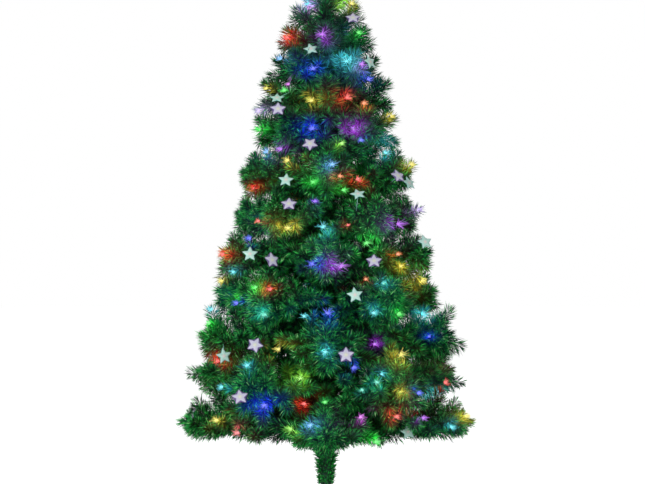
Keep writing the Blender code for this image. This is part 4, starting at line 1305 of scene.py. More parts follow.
class Wardrobe:
    """Every finish by its slot, and the way that a piece puts one on."""

    def __init__(self) -> None:
        """Make the finishes."""
        mould, paint = MouldedPlastic, PaintedSteel
        kinds = {
            Slot.NEEDLES: NeedleFinish(),
            Slot.STAR_FILM: StarFinish(),
            Slot.FIBRE_LIGHT: FibreFinish(),
            Slot.TWIG_WIRE: WireFinish(),
            Slot.RING_PLASTIC: mould("ring_mould", (0.012, 0.05, 0.024), (0.03, 0.085, 0.045), 0.38),
            Slot.TRUNK_TUBE: paint("trunk_paint", (0.012, 0.07, 0.035), (0.02, 0.095, 0.05), 0.33),
            Slot.STAND_STEEL: paint("stand_paint", (0.016, 0.060, 0.036), (0.03, 0.08, 0.05), 0.38, 0.35),
            Slot.ZINC: ZincPlate(),
            Slot.CAP_RUBBER: mould("cap_rubber", (0.02, 0.02, 0.02), (0.05, 0.05, 0.048), 0.7, 500.0),
            Slot.BLACK_PLASTIC: mould("inlet_plastic", (0.015, 0.015, 0.016), (0.03, 0.03, 0.03), 0.35),
            Slot.LOOM_SLEEVE: mould("loom_sleeve", (0.62, 0.62, 0.56), (0.5, 0.5, 0.44), 0.5),
        }
        self.finishes = {slot: kind.material() for slot, kind in kinds.items()}

    def dress(self, piece: bpy.types.Object, slot: Slot, body: str, nodes: tuple[str, ...] = ()) -> None:
        """Give a piece the finish of its slot and its body, and hide the nodes that it stands for."""
        piece.data.materials.clear()
        piece.data.materials.append(self.finishes[slot])
        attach(piece, body)
        if nodes:
            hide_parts(*nodes)
        LOG.info("%s rides on %s, %d faces", piece.name, body, len(piece.data.polygons))


@dataclass
class Stand:
    """The folding stand: a socket on two crossed leg pairs, with caps, a snap ring and three screws."""

    wardrobe: Wardrobe
    socket_inner: float = 0.0165
    socket_wall: float = 0.003
    socket_top: float = 0.118
    socket_floor: float = 0.004
    floor_hole: float = 0.008
    spigot_radius: float = 0.012
    hub_gap: float = 0.0012
    swing_hub: float = 0.046
    leg_thickness: float = 0.0022
    leg_crown: float = 0.0025
    leg_width: float = 0.028
    leg_reach: float = 0.245
    crown_half: float = 0.0045
    crown_foot: float = 0.0085
    toe_height: float = 0.010
    toe_length: float = 0.038
    fixed_flat: float = 0.11
    swing_flat: float = 0.035
    bend: float = 0.016
    cap_width: float = 0.038
    cap_depth: float = 0.024
    cap_wall: float = 0.0025
    cap_squareness: float = 0.28
    cap_rib: float = 0.0004
    ring_radius: float = 0.020
    ring_thickness: float = 0.003
    clearance: float = 0.0003
    screw_height: float = 0.094
    screw_radius: float = 0.003
    screw_length: float = 0.028
    screw_pitch: float = 0.00125
    thread_depth: float = 0.0004
    knob_radius: float = 0.011
    knob_thickness: float = 0.006
    knob_lobes: int = 6
    nut_radius: float = 0.0075
    nut_depth: float = 0.006
    weld: float = 0.0016
    pole_radius: float = 0.016
    screw_azimuths: Floats = (90.0, 210.0, 330.0)
    crease: float = math.radians(38.0)
    round_sides: int = 64
    fine_sides: int = 72
    edge_round: float = 0.0007
    ring_round: float = 0.0008
    bend_steps: int = 8
    rim_out: float = 0.0004
    rim_heights: Pair = (0.004, 0.0046)
    groove_depth: float = 0.001
    spigot_lip: float = 0.0015
    nut_steps: tuple[float, float, float, float] = (0.0002, 0.001, 0.0009, 0.0003)
    nut_limits: Floats = (1.24, 1.22, 1.12, 1.02, 1.02, 0.95, 0.9)
    nut_bead: Floats = (1.0, 1.0, 0.97, 0.0, 0.0, 0.0, 0.0)
    cap_rib_pitch: float = 0.0042
    cap_rib_zone: float = 0.009
    screw_sides: int = 24
    screw_rows: int = 120
    screw_lead: float = 0.002
    knob_shares: Floats = (-0.32, -0.3, -0.02, 0.0, 0.0, 0.06, 0.16, 0.84, 0.94, 1.0, 1.0)
    knob_sizes: Floats = (0.36, 0.4, 0.42, 0.46, 0.86, 0.95, 1.0, 1.0, 0.95, 0.86, 0.5)

    @property
    def fixed_hub(self) -> float:
        """Height of the fixed legs' hub, on top of the swing legs' hub."""
        return self.swing_hub + self.leg_thickness + self.leg_crown + self.hub_gap

    @property
    def socket_bottom(self) -> float:
        """Height of the socket's underside, just over the fixed legs' hub."""
        return self.fixed_hub + self.leg_thickness + self.leg_crown + self.clearance

    @property
    def socket_outer(self) -> float:
        """The socket's outer radius."""
        return self.socket_inner + self.socket_wall

    def finish(self, builder: MeshBuilder, slot: Slot, body: str, node: str) -> None:
        """Build a piece with its creases sharp, and dress it in the place of one node."""
        self.wardrobe.dress(builder.build(sharp=self.crease), slot, body, (node,))

    def add_socket(self) -> None:
        """Turn the socket with its floor and grooved spigot, and weld three nuts to it."""
        inner, outer, spigot = self.socket_inner, self.socket_outer, self.spigot_radius
        top, bottom, hub = self.socket_top, self.socket_bottom, self.swing_hub
        rim, groove, floor = outer + self.rim_out, spigot - self.groove_depth, bottom + self.socket_floor
        foot = hub - self.clearance * 2 - self.ring_thickness - self.spigot_lip
        lip, hole = foot + self.spigot_lip, self.floor_hole
        corners = (
            (inner, top), (rim, top), (rim, top - self.rim_heights[0]), (outer, top - self.rim_heights[1]),
            (outer, bottom), (spigot, bottom), (spigot, hub), (groove, hub), (groove, lip), (spigot, lip),
            (spigot, foot), (hole, foot), (hole, floor), (inner, floor),
        )
        builder = MeshBuilder("socket_welded")
        builder.add(*turned(rounded(corners, self.edge_round, 4), self.round_sides))
        points, faces = self.nut()
        for azimuth in self.screw_azimuths:
            builder.add(about_z(points, math.radians(azimuth)), faces)
        self.finish(builder, Slot.STAND_STEEL, "stand", "socket_tube")

    def nut(self) -> tuple[Points, Faces]:
        """Make one nut along +X: a hexagon whose outer corners are chamfered, in a bead of weld.

        The reach at an angle a is r * cos(30 deg) / cos((a mod 60 deg) - 30 deg), cut to a circle.
        """
        wall, end = self.socket_outer, self.socket_outer + self.nut_depth
        rise, step, bevel, edge = self.nut_steps
        start = self.socket_inner + self.socket_wall * 0.5
        along = np.array([start, wall + rise, wall + step, wall + self.weld, end - bevel, end - edge, end])
        limit = np.array(self.nut_limits)[:, None] * self.nut_radius
        angle = ring_angles(self.fine_sides)
        hexagon = self.nut_radius * math.cos(math.pi / 6) / np.cos(angle % (math.pi / 3) - math.pi / 6)
        reach = np.minimum(np.maximum(hexagon[None], limit * np.array(self.nut_bead)[:, None]), limit)
        return skin(stacked(along[:, None], reach * np.cos(angle), reach * np.sin(angle) + self.screw_height))

    def leg_section(self) -> Points:
        """Return a leg's section as (across, rise): a strip with a raised crown and rounded edges.

        Its middle line rises by the crown * (1 - smooth step from the crown's half width to its
        foot), and its half thickness closes as a circle over the last half thickness of the edge.
        """
        half = self.leg_width / 2
        across = half * np.sin(np.linspace(-math.pi / 2, math.pi / 2, 37))
        middle = self.leg_crown * (1.0 - smooth_step(np.abs(across), self.crown_half, self.crown_foot))
        edge = self.leg_thickness / 2
        closing = np.clip((np.abs(across) - half + edge) / edge, 0.0, 1.0)
        thick = edge * np.sqrt(1.0 - closing ** 2)
        top = np.stack([across, middle + edge + thick], axis=-1)
        bottom = np.stack([across, middle + edge - thick], axis=-1)[-2:0:-1]
        return np.concatenate([top, bottom])

    def add_legs(self, name: str, body: str, hub: float, flat: float, azimuth: float, node: str) -> None:
        """Carry the section along one leg pair's line: flat hub, slope, and flat toe at either end."""
        toe = self.toe_height
        corners = ((0.0, hub), (flat, hub), (self.leg_reach - self.toe_length, toe), (self.leg_reach, toe))
        half = rounded(corners, self.bend, self.bend_steps, closed=False)
        line = np.concatenate([half[:0:-1] * [-1.0, 1.0], half])[:, None]
        section = self.leg_section()[None]
        points, faces = skin(stacked(line[..., 0], section[..., 0], line[..., 1] + section[..., 1]))
        builder = MeshBuilder(name)
        builder.add(about_z(points, azimuth), faces)
        self.finish(builder, Slot.STAND_STEEL, body, node)

    def add_cap(self, number: int, azimuth: float) -> None:
        """Make one rubber cap, a rounded box with grip ribs.

        x = A * sin(v)^e, y = B * cos(v)^e * cos(u)^e, z = C * cos(v)^e * sin(u)^e, each power with
        its sign, and the ribs are a cosine along x on y and z.
        """
        top = self.toe_height + self.leg_thickness + self.leg_crown + self.clearance + self.cap_wall
        low, high = self.leg_reach - self.cap_depth, self.leg_reach + self.clearance + self.cap_wall
        u = ring_angles(self.round_sides)
        v = np.linspace(-1.0, 1.0, 41)
        v = np.sign(v) * np.abs(v) ** 0.6 * math.pi / 2

        def power(values: Points) -> Points:
            """Return a value's magnitude to the power of the squareness, with its sign."""
            return np.sign(values) * np.abs(values) ** self.cap_squareness

        along = power(np.sin(v))[:, None] * (high - low) / 2
        shrink = power(np.cos(v)).clip(0.02)[:, None]
        wave = 0.5 - 0.5 * np.cos(along * math.tau / self.cap_rib_pitch)
        rib = 1.0 - self.cap_rib / (top / 2) * wave * (np.abs(along) < self.cap_rib_zone)
        across = shrink * power(np.cos(u))[None] * rib * self.cap_width / 2
        height = shrink * power(np.sin(u))[None] * top / 2
        points, faces = skin(stacked(along + (low + high) / 2, across, height + top / 2))
        builder = MeshBuilder(f"toe_cap_{number}")
        builder.add(about_z(points, azimuth), faces)
        self.finish(builder, Slot.CAP_RUBBER, "stand" if number < 3 else "swing_legs", f"foot_cap_{number}")

    def add_lock_ring(self) -> None:
        """Turn the snap ring that sits in the spigot's groove."""
        top = self.swing_hub - self.clearance
        foot = top - self.ring_thickness
        inner = self.spigot_radius - self.groove_depth + self.clearance
        corners = ((inner, top), (self.ring_radius, top), (self.ring_radius, foot), (inner, foot))
        builder = MeshBuilder("snap_ring")
        builder.add(*turned(rounded(corners, self.ring_round, 4), self.round_sides))
        self.finish(builder, Slot.ZINC, "stand", "lock_ring")

    def shank(self) -> tuple[Points, Points, Points]:
        """Return the shank's (along, reach, angle).

        Its radius is (r - depth * (1 + cos(tau * x / pitch - angle)) / 2), smaller over its lead.
        """
        angle = ring_angles(self.screw_sides)
        along = np.linspace(0.0, self.screw_length - self.knob_thickness * 0.8, self.screw_rows)
        wave = 0.5 + 0.5 * np.cos(along[:, None] * math.tau / self.screw_pitch - angle[None])
        lead = np.clip(0.7 + along[:, None] / self.screw_lead, 0.7, 1.0)
        return along, (self.screw_radius - self.thread_depth * wave) * lead, angle

    def knob(self) -> tuple[Points, Points, Points]:
        """Return the knob's (along, reach, angle): a collar, a lobed grip and a low boss.

        The grip's radius is R * (0.9 + 0.1 * cos(lobes * angle)) * its rounded side.
        """
        size = np.array(self.knob_sizes)[:, None]
        angle = ring_angles(self.fine_sides)
        grip = np.where(size > 0.8, 0.9 + 0.1 * np.cos(self.knob_lobes * angle)[None], 1.0)
        along = self.screw_length - self.knob_thickness + np.array(self.knob_shares) * self.knob_thickness
        return along, size * self.knob_radius * grip, angle

    def add_screw(self, number: int, azimuth: float) -> None:
        """Make one thumb screw along +X, then turn it to its nut."""
        start = self.pole_radius + self.clearance
        builder = MeshBuilder(f"screw_{number}_knob")
        for along, reach, angle in (self.shank(), self.knob()):
            across, rise = reach * np.cos(angle), reach * np.sin(angle) + self.screw_height
            points, faces = skin(stacked(along[:, None] + start, across, rise))
            builder.add(about_z(points, azimuth), faces)
        self.finish(builder, Slot.ZINC, f"screw_{number}", f"thumb_screw_{number}")

    def build(self) -> None:
        """Build every piece of the stand."""
        self.add_socket()
        self.add_legs("fixed_legs", "stand", self.fixed_hub, self.fixed_flat, 0.0, "fixed_leg_pair")
        crossing = (self.swing_hub, self.swing_flat, math.pi / 2)
        self.add_legs("crossing_legs", "swing_legs", *crossing, "swing_leg_pair")
        for place, azimuth in enumerate((0.0, math.pi, math.pi / 2, -math.pi / 2)):
            self.add_cap(place + 1, azimuth)
        self.add_lock_ring()
        for place, azimuth in enumerate(self.screw_azimuths):
            self.add_screw(place + 1, math.radians(azimuth))


@dataclass(frozen=True)
class PlacedStar:
    """Where one star sits: its heart, the way it looks, the root of its stalk, its kind and its lean."""

    centre: Points
    facing: Points
    root: Points
    kind: Heart
    lean: float


@dataclass(frozen=True)
class Wires:
    """A limb's twisted wire pairs, each pair of values for its main wire and for its twigs, and its pin."""

    rows: tuple[int, int] = (14, 5)
    sides: tuple[int, int] = (6, 5)
    starts: Pair = (-0.04, 0.0)
    thinning: float = 0.55
    twist: float = 0.9
    bulge: float = 0.22
    pin_radius: float = 0.0017
    hook_radius: float = 0.0021
    hook_share: float = 0.02
    pin_sides: int = 10

    def lay(self, limb: Limb, builder: MeshBuilder) -> None:
        """Add a tube along every sprig, the cross-pin, and the hook that joins it to the main wire."""
        for number, sprig in enumerate(limb.sprigs):
            kind = min(number, 1)
            share = np.linspace(self.starts[kind], 1.0, self.rows[kind])
            radii = sprig.wire_radius * np.linspace(1.0, self.thinning, self.rows[kind])
            builder.add(*tube(sprig.line(share), radii, self.sides[kind], self.twist, self.bulge))
        if limb.pin is not None:
            low, high = limb.pin
            builder.add(*rod(low, high, self.pin_radius, self.pin_sides))
            start = limb.sprigs[0].line(self.hook_share)
            builder.add(*rod((low + high) / 2, start, self.hook_radius, self.pin_sides))


@dataclass(frozen=True)
class Winding:
    """How needles are wound round the trunk: how many, how they slant, and how long and wide they are."""

    per_metre: int
    slants: Pair
    lengths: Pair
    half_width: float
    tone: float
    keel: float = 0.0006
    widest: float = 0.55
    slant_noise: float = 0.3
    tone_noise: float = 0.28
    # paler: painted highlight at the tips
    paler: float = 0.4


# The foot's needles get a higher tone than the pole windings, painted light against the crown's shadow.
BUSHY = Winding(10000, (-1.35, -0.1), (0.9, 2.2), 0.0015, 0.46)
SPARSE = Winding(17000, (-1.35, 0.6), (0.5, 1.3), 0.00115, 0.30)


@dataclass(frozen=True)
class Shading:
    """How needles get painted shade towards the trunk and grow darker towards the top, and how their painted
    glow sparkles.
    """

    crown: Pair = (0.25, 1.62)
    crown_most: float = 0.97
    crown_radius: float = 0.5
    heart: Pair = (0.55, 0.45)
    heart_shares: Pair = (0.15, 0.65)
    top_loss: float = 0.3
    top_heights: Pair = (0.9, 1.5)
    sparkle: Pair = (0.12, 1.0)
    sparkle_gain: float = 2.4

    def darkened(self, tones: Points, points: Points) -> Points:
        """Return tone * (a + b * inner step) * (1 - c * top step): painted shade in the crown's heart, and
        darker towards the top.

        The inner step follows the distance from the axis over the crown's radius at that height,
        and the top step follows the height.
        """
        height_share = np.clip((points[:, 2] - self.crown[0]) / self.crown[1], 0.0, self.crown_most)
        depth = np.hypot(points[:, 0], points[:, 1]) / (self.crown_radius * (1.0 - height_share))
        tones = tones * (self.heart[0] + self.heart[1] * smooth_step(depth, *self.heart_shares))
        return tones * (1.0 - self.top_loss * smooth_step(points[:, 2], *self.top_heights))

    def sparkles(self, rng: np.random.Generator, count: int) -> Points:
        """Return the share of the painted glow that each of a number of blades takes, once for each vertex.
        """
        return np.repeat(rng.uniform(*self.sparkle, count) ** 2 * self.sparkle_gain, 4)[:, None]


@dataclass
class TreeBuilder:
    """Builds the dressed tree on its frame, limb by limb."""

    sample_shares: Pair = (0.35, 1.0)
    sample_count: int = 14
    sample_out: float = 0.45
    sample_up: float = 0.02
    sample_ahead: float = 0.8
    miss_cost: float = 0.008
    far_miss_cost: float = 0.05
    far_miss: float = 10.0
    near_pixels: float = 5.0
    front_depth: float = 0.06
    light_depth_cost: float = 60.0
    twig_depth_cost: float = 15.0
    twig_back: float = 0.5
    twig_past: float = 0.6
    twig_radius: float = 0.9
    gap_turn: float = math.radians(15.0)
    gap_rise: float = 0.045
    gap_heights: Pair = (0.36, 1.62)
    gap_share: float = 0.78
    gap_size: float = 0.040
    light_forward: float = 0.016
    light_turn: float = 0.45
    light_reach: float = 0.026
    light_power: float = 0.95
    hidden_power: float = 0.9
    hidden_shares: Pair = (0.82, 0.9)
    hidden_width: float = 0.74
    hidden_top: float = 1.4
    hidden_facing: float = 0.42
    hidden_gap: float = 0.085
    hidden_depth: float = 0.55
    hidden_reach: Pair = (0.6, 1.2)
    crown_foot: float = 0.3
    star_near: float = 8.0
    star_slack: float = 0.05
    star_forward: float = 0.038
    star_rooms: tuple[int, int] = (2, 7)
    star_wanted: tuple[int, int] = (1, 5)
    star_front: float = 0.45
    star_lifts: Pair = (0.35, 0.8)
    star_lean: float = 0.3
    trunk_radius: float = 0.0165
    trunk_foot: float = 0.012
    trunk_reaches: tuple[Pair, ...] = ((0.0245, 0.040), (0.046, 0.046), (0.044, 0.040))
    garland_drop: float = 0.018
    pole_gap: float = 0.004
    photograph: Photograph = field(default_factory=Photograph)
    needles: Needles = field(default_factory=Needles)
    fibres: Fibres = field(default_factory=Fibres)
    star: Star = field(default_factory=Star)
    wires: Wires = field(default_factory=Wires)
    shading: Shading = field(default_factory=Shading)
    glow: GlowField = field(default_factory=GlowField)

    def __post_init__(self) -> None:
        """Lay the sprigs, then find the lights on them."""
        self.low, self.high = (np.array(corner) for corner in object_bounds())
        self.limbs = [*BranchTiers().limbs(), Treetop().limb()]
        self.samples = self.sample_sprigs()
        self.fill_crown()
        self.reach_targets()
        self.lights = [*self.photo_lights(), *self.hidden_lights()]
        self.wardrobe = Wardrobe()

    def sample_sprigs(self) -> dict[str, Points]:
        """Return points along every sprig, a little outside its wire, with the limb that holds them."""
        share = np.linspace(*self.sample_shares, self.sample_count)
        found: dict[str, list[Points]] = {"limb": [], "share": [], "place": [], "outward": []}
        for number, limb in enumerate(self.limbs):
            for sprig in limb.sprigs:
                line = sprig.line(share)
                away = unit(line * [1.0, 1.0, 0.0] + [0.0, 0.0, self.sample_up])
                found["limb"].append(np.full(len(share), number))
                found["share"].append(share)
                found["place"].append(line + away * sprig.radius * self.sample_out)
                found["outward"].append(unit(away + sprig.slope(share) * self.sample_ahead))
        return {key: np.concatenate(parts) for key, parts in found.items()}

    def misses(self, pixel: Pair) -> Points:
        """Return how many pixels from a pixel each sample shows."""
        return np.hypot(*(self.photograph.pixels(self.samples["place"]) - np.array(pixel)).T)

    def nearest_to_pixel(self, pixel: Pair, allowed: Points | bool = True) -> int:
        """Return the sample that shows at a pixel: least Y + a * miss + b * (miss beyond 10 pixels)."""
        miss = self.misses(pixel)
        score = self.samples["place"][:, 1] + self.miss_cost * miss
        score = score + self.far_miss_cost * np.maximum(miss - self.far_miss, 0.0)
        return int(np.argmin(np.where(allowed, score, np.inf)))

    def twig_to(self, limb_number: int, target: Points) -> Sprig:
        """Return a twig that ends at a target.

        It leaves the limb's nearest long sprig half its own length short of the target's foot on
        that sprig.

        Args:
            limb_number: the limb that carries it.
            target: where its needles end.

        Returns:
            The twig.
        """
        limb = self.limbs[limb_number]
        share = np.linspace(0.0, 1.0, 40)
        lines = np.stack([limb.sprigs[carrier].line(share) for carrier in limb.star_sprigs])
        away = np.linalg.norm(lines - target, axis=-1)
        carrier, place = np.unravel_index(int(np.argmin(away)), away.shape)
        sprig = limb.sprigs[limb.star_sprigs[carrier]]
        start = sprig.line(max(share[place] - self.twig_back * away[carrier, place] / sprig.wire, 0.0))
        length = float(np.linalg.norm(target - start)) + self.twig_past * sprig.radius
        return Sprig(start, unit(target - start), length, sprig.radius * self.twig_radius)

    def grow(self, targets: list[tuple[int, Points]], reason: str) -> None:
        """Add a twig for each (sample, target), on that sample's limb, and sample the sprigs again."""
        for sample, target in targets:
            number = int(self.samples["limb"][sample])
            self.limbs[number].sprigs.append(self.twig_to(number, target))
        self.samples = self.sample_sprigs()
        LOG.info("%d twigs added %s", len(targets), reason)

    def fill_crown(self) -> None:
        """Add a twig wherever the crown's skin has no sprig near, on every side.

        The skin is looked at on a lattice of azimuths and heights, at a share of the crown's radius.
        """
        turns = np.arange(0.0, math.tau, self.gap_turn)
        azimuth, height = np.meshgrid(turns, np.arange(*self.gap_heights, self.gap_rise), indexing="ij")
        azimuth, height = azimuth.ravel() + height.ravel() / self.gap_rise * self.gap_turn / 2, height.ravel()
        reach = self.gap_share * self.crown_radius(height)
        targets = []
        for point in stacked(reach * np.cos(azimuth), reach * np.sin(azimuth), height):
            away = np.linalg.norm(self.samples["place"] - point, axis=1)
            if away.min() >= self.gap_size:
                targets.append((int(np.argmin(away)), point))
        self.grow(targets, "where the crown was thin")

    def reach_targets(self) -> None:
        """Add twigs for what the photograph shows.

        One goes to each light and star that no front sprig shows near, and to each twig's end. The
        sample with the least miss in pixels + a * Y gives the twig's limb and its target's depth.
        """
        depth = self.samples["place"][:, 1]
        front = depth < self.front_depth
        scores = []
        for pixel in [row[:2] for row in (*PHOTO_LIGHTS, *PHOTO_STARS)]:
            miss = self.misses(pixel)
            if not np.any(front & (miss < self.near_pixels)):
                scores.append((pixel, np.where(front, miss + self.light_depth_cost * depth, np.inf)))
        scores += [(pixel, self.misses(pixel) + self.twig_depth_cost * depth) for pixel in PHOTO_TWIGS]
        chosen = [(pixel, int(np.argmin(score))) for pixel, score in scores]
        targets = [(sample, self.photograph.on_ray(pixel, depth[sample])) for pixel, sample in chosen]
        self.grow(targets, "for what the photograph shows")

    def photo_lights(self) -> list[Light]:
        """Return the photograph's lights, each a little in front of the sprig that shows there."""
        found = []
        for column, row, glow, width in PHOTO_LIGHTS:
            sample = self.nearest_to_pixel((column, row))
            depth = self.samples["place"][sample][1] - self.light_forward
            centre = self.photograph.on_ray((column, row), depth)
            outward = unit(self.samples["outward"][sample] + [0.0, -self.light_turn, 0.0])
            reach = self.light_reach * width ** 0.85
            found.append(Light(centre, outward, glow.value, reach, self.light_power))
        return found

    def hidden_lights(self) -> list[Light]:
        """Return lights for the sides and the back, near the ends of sprigs that the photograph hides.

        A sprig's end counts where it faces well backwards, or backwards at all if it is low and
        well inside the outline that the photograph shows.
        """
        rng = np.random.default_rng(12)
        palette = [glow.value for _, _, glow, _ in PHOTO_LIGHTS]
        share, places = self.samples["share"], self.samples["place"]
        ends = np.flatnonzero((share > self.hidden_shares[0]) & (share < self.hidden_shares[1]))
        place = places[ends]
        facing = unit(place * [1.0, 1.0, 0.0] + [0.0, 0.0, 1e-6])[:, 1]
        inside = np.abs(place[:, 0]) < self.hidden_width * self.crown_radius(place[:, 2])
        inside &= place[:, 2] < self.hidden_top
        ends = ends[(facing > self.hidden_facing) | ((facing > 0.0) & inside)]
        rng.shuffle(ends)
        taken: list[Points] = []
        found = []
        for sample in ends:
            centre = places[sample]
            inner = np.hypot(centre[0], centre[1]) < self.hidden_depth * self.crown_radius(centre[2])
            if inner or any(np.linalg.norm(centre - other) < self.hidden_gap for other in taken):
                continue
            taken.append(centre)
            colour = palette[rng.integers(len(palette))]
            reach = self.light_reach * rng.uniform(*self.hidden_reach)
            found.append(Light(centre, self.samples["outward"][sample], colour, reach, self.hidden_power))
        return found

    def crown_radius(self, height: Points | float) -> Points:
        """Return the crown's radius at heights: a straight line from the lowest tier to the tip."""
        share = (height - self.crown_foot) / (self.high[2] - self.crown_foot)
        return self.high[0] * np.clip(1.0 - share, 0.02, 1.0)

    def blade_piece(
        self, name: str, blades: Points, tones: Points, sparkle: Points | float = 1.0,
    ) -> bpy.types.Object:
        """Make one mesh of blades, with the light of the lights near them painted on as glow."""
        points, count = blades.reshape(-1, 3), len(blades)
        builder = MeshBuilder(name)
        builder.add(
            points, self.needles.faces(count), tone=tones.reshape(-1),
            glow=self.glow.at(points, self.lights) * sparkle, uv=self.needles.cells(count).reshape(-1, 2),
        )
        return builder.build(uv="OFBake")

    def needle_piece(self, name: str, sprigs: list[Sprig]) -> bpy.types.Object:
        """Lay every needle of some sprigs in one mesh, kept inside the frame's box."""
        laid = [self.needles.lay(sprig) for sprig in sprigs]
        blades = np.clip(np.concatenate([blade for blade, _ in laid]), self.low, self.high)
        tones = np.concatenate([tone for _, tone in laid]).reshape(-1)
        # painted shade in the heart of the crown, and darker towards the top
        tones = self.shading.darkened(tones, blades.reshape(-1, 3))
        return self.blade_piece(name, blades, tones, self.shading.sparkles(self.needles.rng, len(blades)))

    def wire_piece(self, name: str, limb: Limb) -> bpy.types.Object:
        """Make a limb's wires."""
        builder = MeshBuilder(name)
        self.wires.lay(limb, builder)
        return builder.build()

    def fibre_piece(self, name: str, limb_number: int, lights: list[Light]) -> bpy.types.Object:
        """Make the bursts of lit fibre ends of one limb, each led from the nearest wire."""
        builder = MeshBuilder(name)
        for light in lights:
            roots, tips = self.fibres.burst(light)
            wire = self.nearest_wire(limb_number, light.centre)
            ends = roots[: self.fibres.leads]
            leads = self.fibres.spikes(wire + (ends - ends.mean(axis=0)) * self.fibres.lead_width, ends)
            builder.add(*leads, glow=np.array(light.colour)[None] * self.fibres.lead_glow)
            points, faces = self.fibres.spikes(roots, tips)
            builder.add(points, faces, glow=self.fibres.glow(light, points))
        return builder.build()

    def build_limb(self, limb_number: int, lights: list[Light]) -> None:
        """Make one limb's needles, wires and fibre ends."""
        limb = self.limbs[limb_number]
        dress, body = self.wardrobe.dress, limb.body
        dress(self.needle_piece(f"{body}_needles", limb.sprigs[: limb.split]), Slot.NEEDLES, body, (body,))
        if limb.split is not None:
            dress(self.needle_piece(f"{body}_upper_needles", limb.sprigs[limb.split:]), Slot.NEEDLES, body)
        dress(self.wire_piece(f"{body}_wires", limb), Slot.TWIG_WIRE, body)
        if lights:
            dress(self.fibre_piece(f"{body}_fibres", limb_number, lights), Slot.FIBRE_LIGHT, body)

    def owner_of(self, light: Light) -> int:
        """Return the limb that holds the sample nearest to a light."""
        away = ((self.samples["place"] - light.centre) ** 2).sum(axis=1)
        return int(self.samples["limb"][np.argmin(away)])

    def photo_stars(self) -> dict[int, list[PlacedStar]]:
        """Return the photograph's stars by limb, each on a limb that has room left.

        A star stands in front of the sample that its pixel shows. Where another sample shows within
        a few pixels of it and is nearer, it stands in front of that one, within the slack.
        """
        treetop = len(self.limbs) - 1
        room = {number: self.star_rooms[number == treetop] for number in range(len(self.limbs))}
        placed: dict[int, list[PlacedStar]] = {number: [] for number in room}
        for column, row, kind, lean, pitch, turn in PHOTO_STARS:
            pixel = (column, row)
            open_limbs = np.isin(self.samples["limb"], [number for number, left in room.items() if left > 0])
            limb_number = int(self.samples["limb"][self.nearest_to_pixel(pixel, open_limbs)])
            room[limb_number] -= 1
            front = self.samples["place"][self.nearest_to_pixel(pixel)][1]
            nearer = self.samples["place"][self.misses(pixel) < self.star_near, 1].min(initial=front)
            depth = max(nearer, front - self.star_slack) - self.star_forward
            centre = self.photograph.on_ray(pixel, depth)
            pitch, turn = math.radians(pitch), math.radians(turn)
            level = math.cos(pitch)
            facing = np.array([math.sin(turn) * level, -math.cos(turn) * level, math.sin(pitch)])
            root = self.nearest_wire(limb_number, centre)
            placed[limb_number].append(PlacedStar(centre, facing, root, kind, math.radians(lean)))
        return placed

    def place_stars(self) -> dict[int, list[PlacedStar]]:
        """Return each limb's stars: the photograph's, and guessed ones where a limb has too few."""
        placed = self.photo_stars()
        rng = np.random.default_rng(77)
        for limb_number, limb in enumerate(self.limbs):
            wanted = self.star_wanted[limb_number == len(self.limbs) - 1] - len(placed[limb_number])
            for place in range(wanted):
                sprig = limb.sprigs[limb.star_sprigs[(place * 5) % len(limb.star_sprigs)]]
                in_front = sprig.line(1.0)[1] < -self.star_front * self.crown_radius(sprig.start[2])
                share, reach = (0.35, 0.2) if in_front else (0.86, 0.75)
                root = sprig.line(share)
                away = unit(root * [1.0, 1.0, 0.0] + [0.0, 0.0, 1e-6])
                lift = sprig.radius * rng.uniform(*self.star_lifts)
                centre = root + np.array([0.0, 0.0, 1.0]) * lift + away * sprig.radius * reach
                kind = Heart.PINK if rng.random() < 0.5 else Heart.YELLOW
                facing, lean = unit(away + [0, 0, 0.3]), rng.normal(0.0, self.star_lean)
                placed[limb_number].append(PlacedStar(centre, facing, root, kind, lean))
        return placed

    def nearest_wire(self, limb_number: int, point: Points) -> Points:
        """Return the point of a limb's wires that is nearest to a point."""
        share = np.linspace(0.1, 1.0, 24)
        lines = np.concatenate([sprig.line(share) for sprig in self.limbs[limb_number].sprigs])
        return lines[np.argmin(((lines - point) ** 2).sum(axis=1))]

    def star_piece(self, limb: Limb, stars: list[PlacedStar]) -> None:
        """Make a limb's stars, each on a short stalk that roots in its sprig."""
        builder = MeshBuilder(f"{limb.body}_stars")
        for star in stars:
            side, up = across_axes(star.facing)
            top = up * math.cos(star.lean) + side * math.sin(star.lean)
            points, faces, out, rim = self.star.shape(star.centre, star.facing, top, star.kind)
            builder.add(points, faces, out=out, rim=rim, kind=float(star.kind is Heart.YELLOW))
            back = star.centre - star.facing * self.star.thickness * 0.3
            builder.add(*rod(star.root, back, self.star.stalk_radius, 5), out=0.9, rim=1.0, kind=0.0)
        self.wardrobe.dress(builder.build(), Slot.STAR_FILM, limb.body)

    def build_garland(self) -> None:
        """Wind the trunk with needles: the bushy foot, and both tubes between their rings."""
        low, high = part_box("trunk_garland")
        middle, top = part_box("lower_pole")[1].z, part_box("upper_pole")[1].z
        spans = ((low.z - self.garland_drop, high.z), (high.z, middle), (middle + self.pole_gap, top))
        rows = (
            ("trunk_garland", BUSHY, "lower_trunk", ("trunk_garland",)),
            ("lower_pole", SPARSE, "lower_trunk", ()),
            ("upper_pole", SPARSE, "upper_trunk", ()),
        )
        for (name, winding, body, nodes), span, reaches in zip(rows, spans, self.trunk_reaches):
            piece = self.wind_trunk(f"{name}_needles", span, reaches, winding)
            self.wardrobe.dress(piece, Slot.NEEDLES, body, nodes)

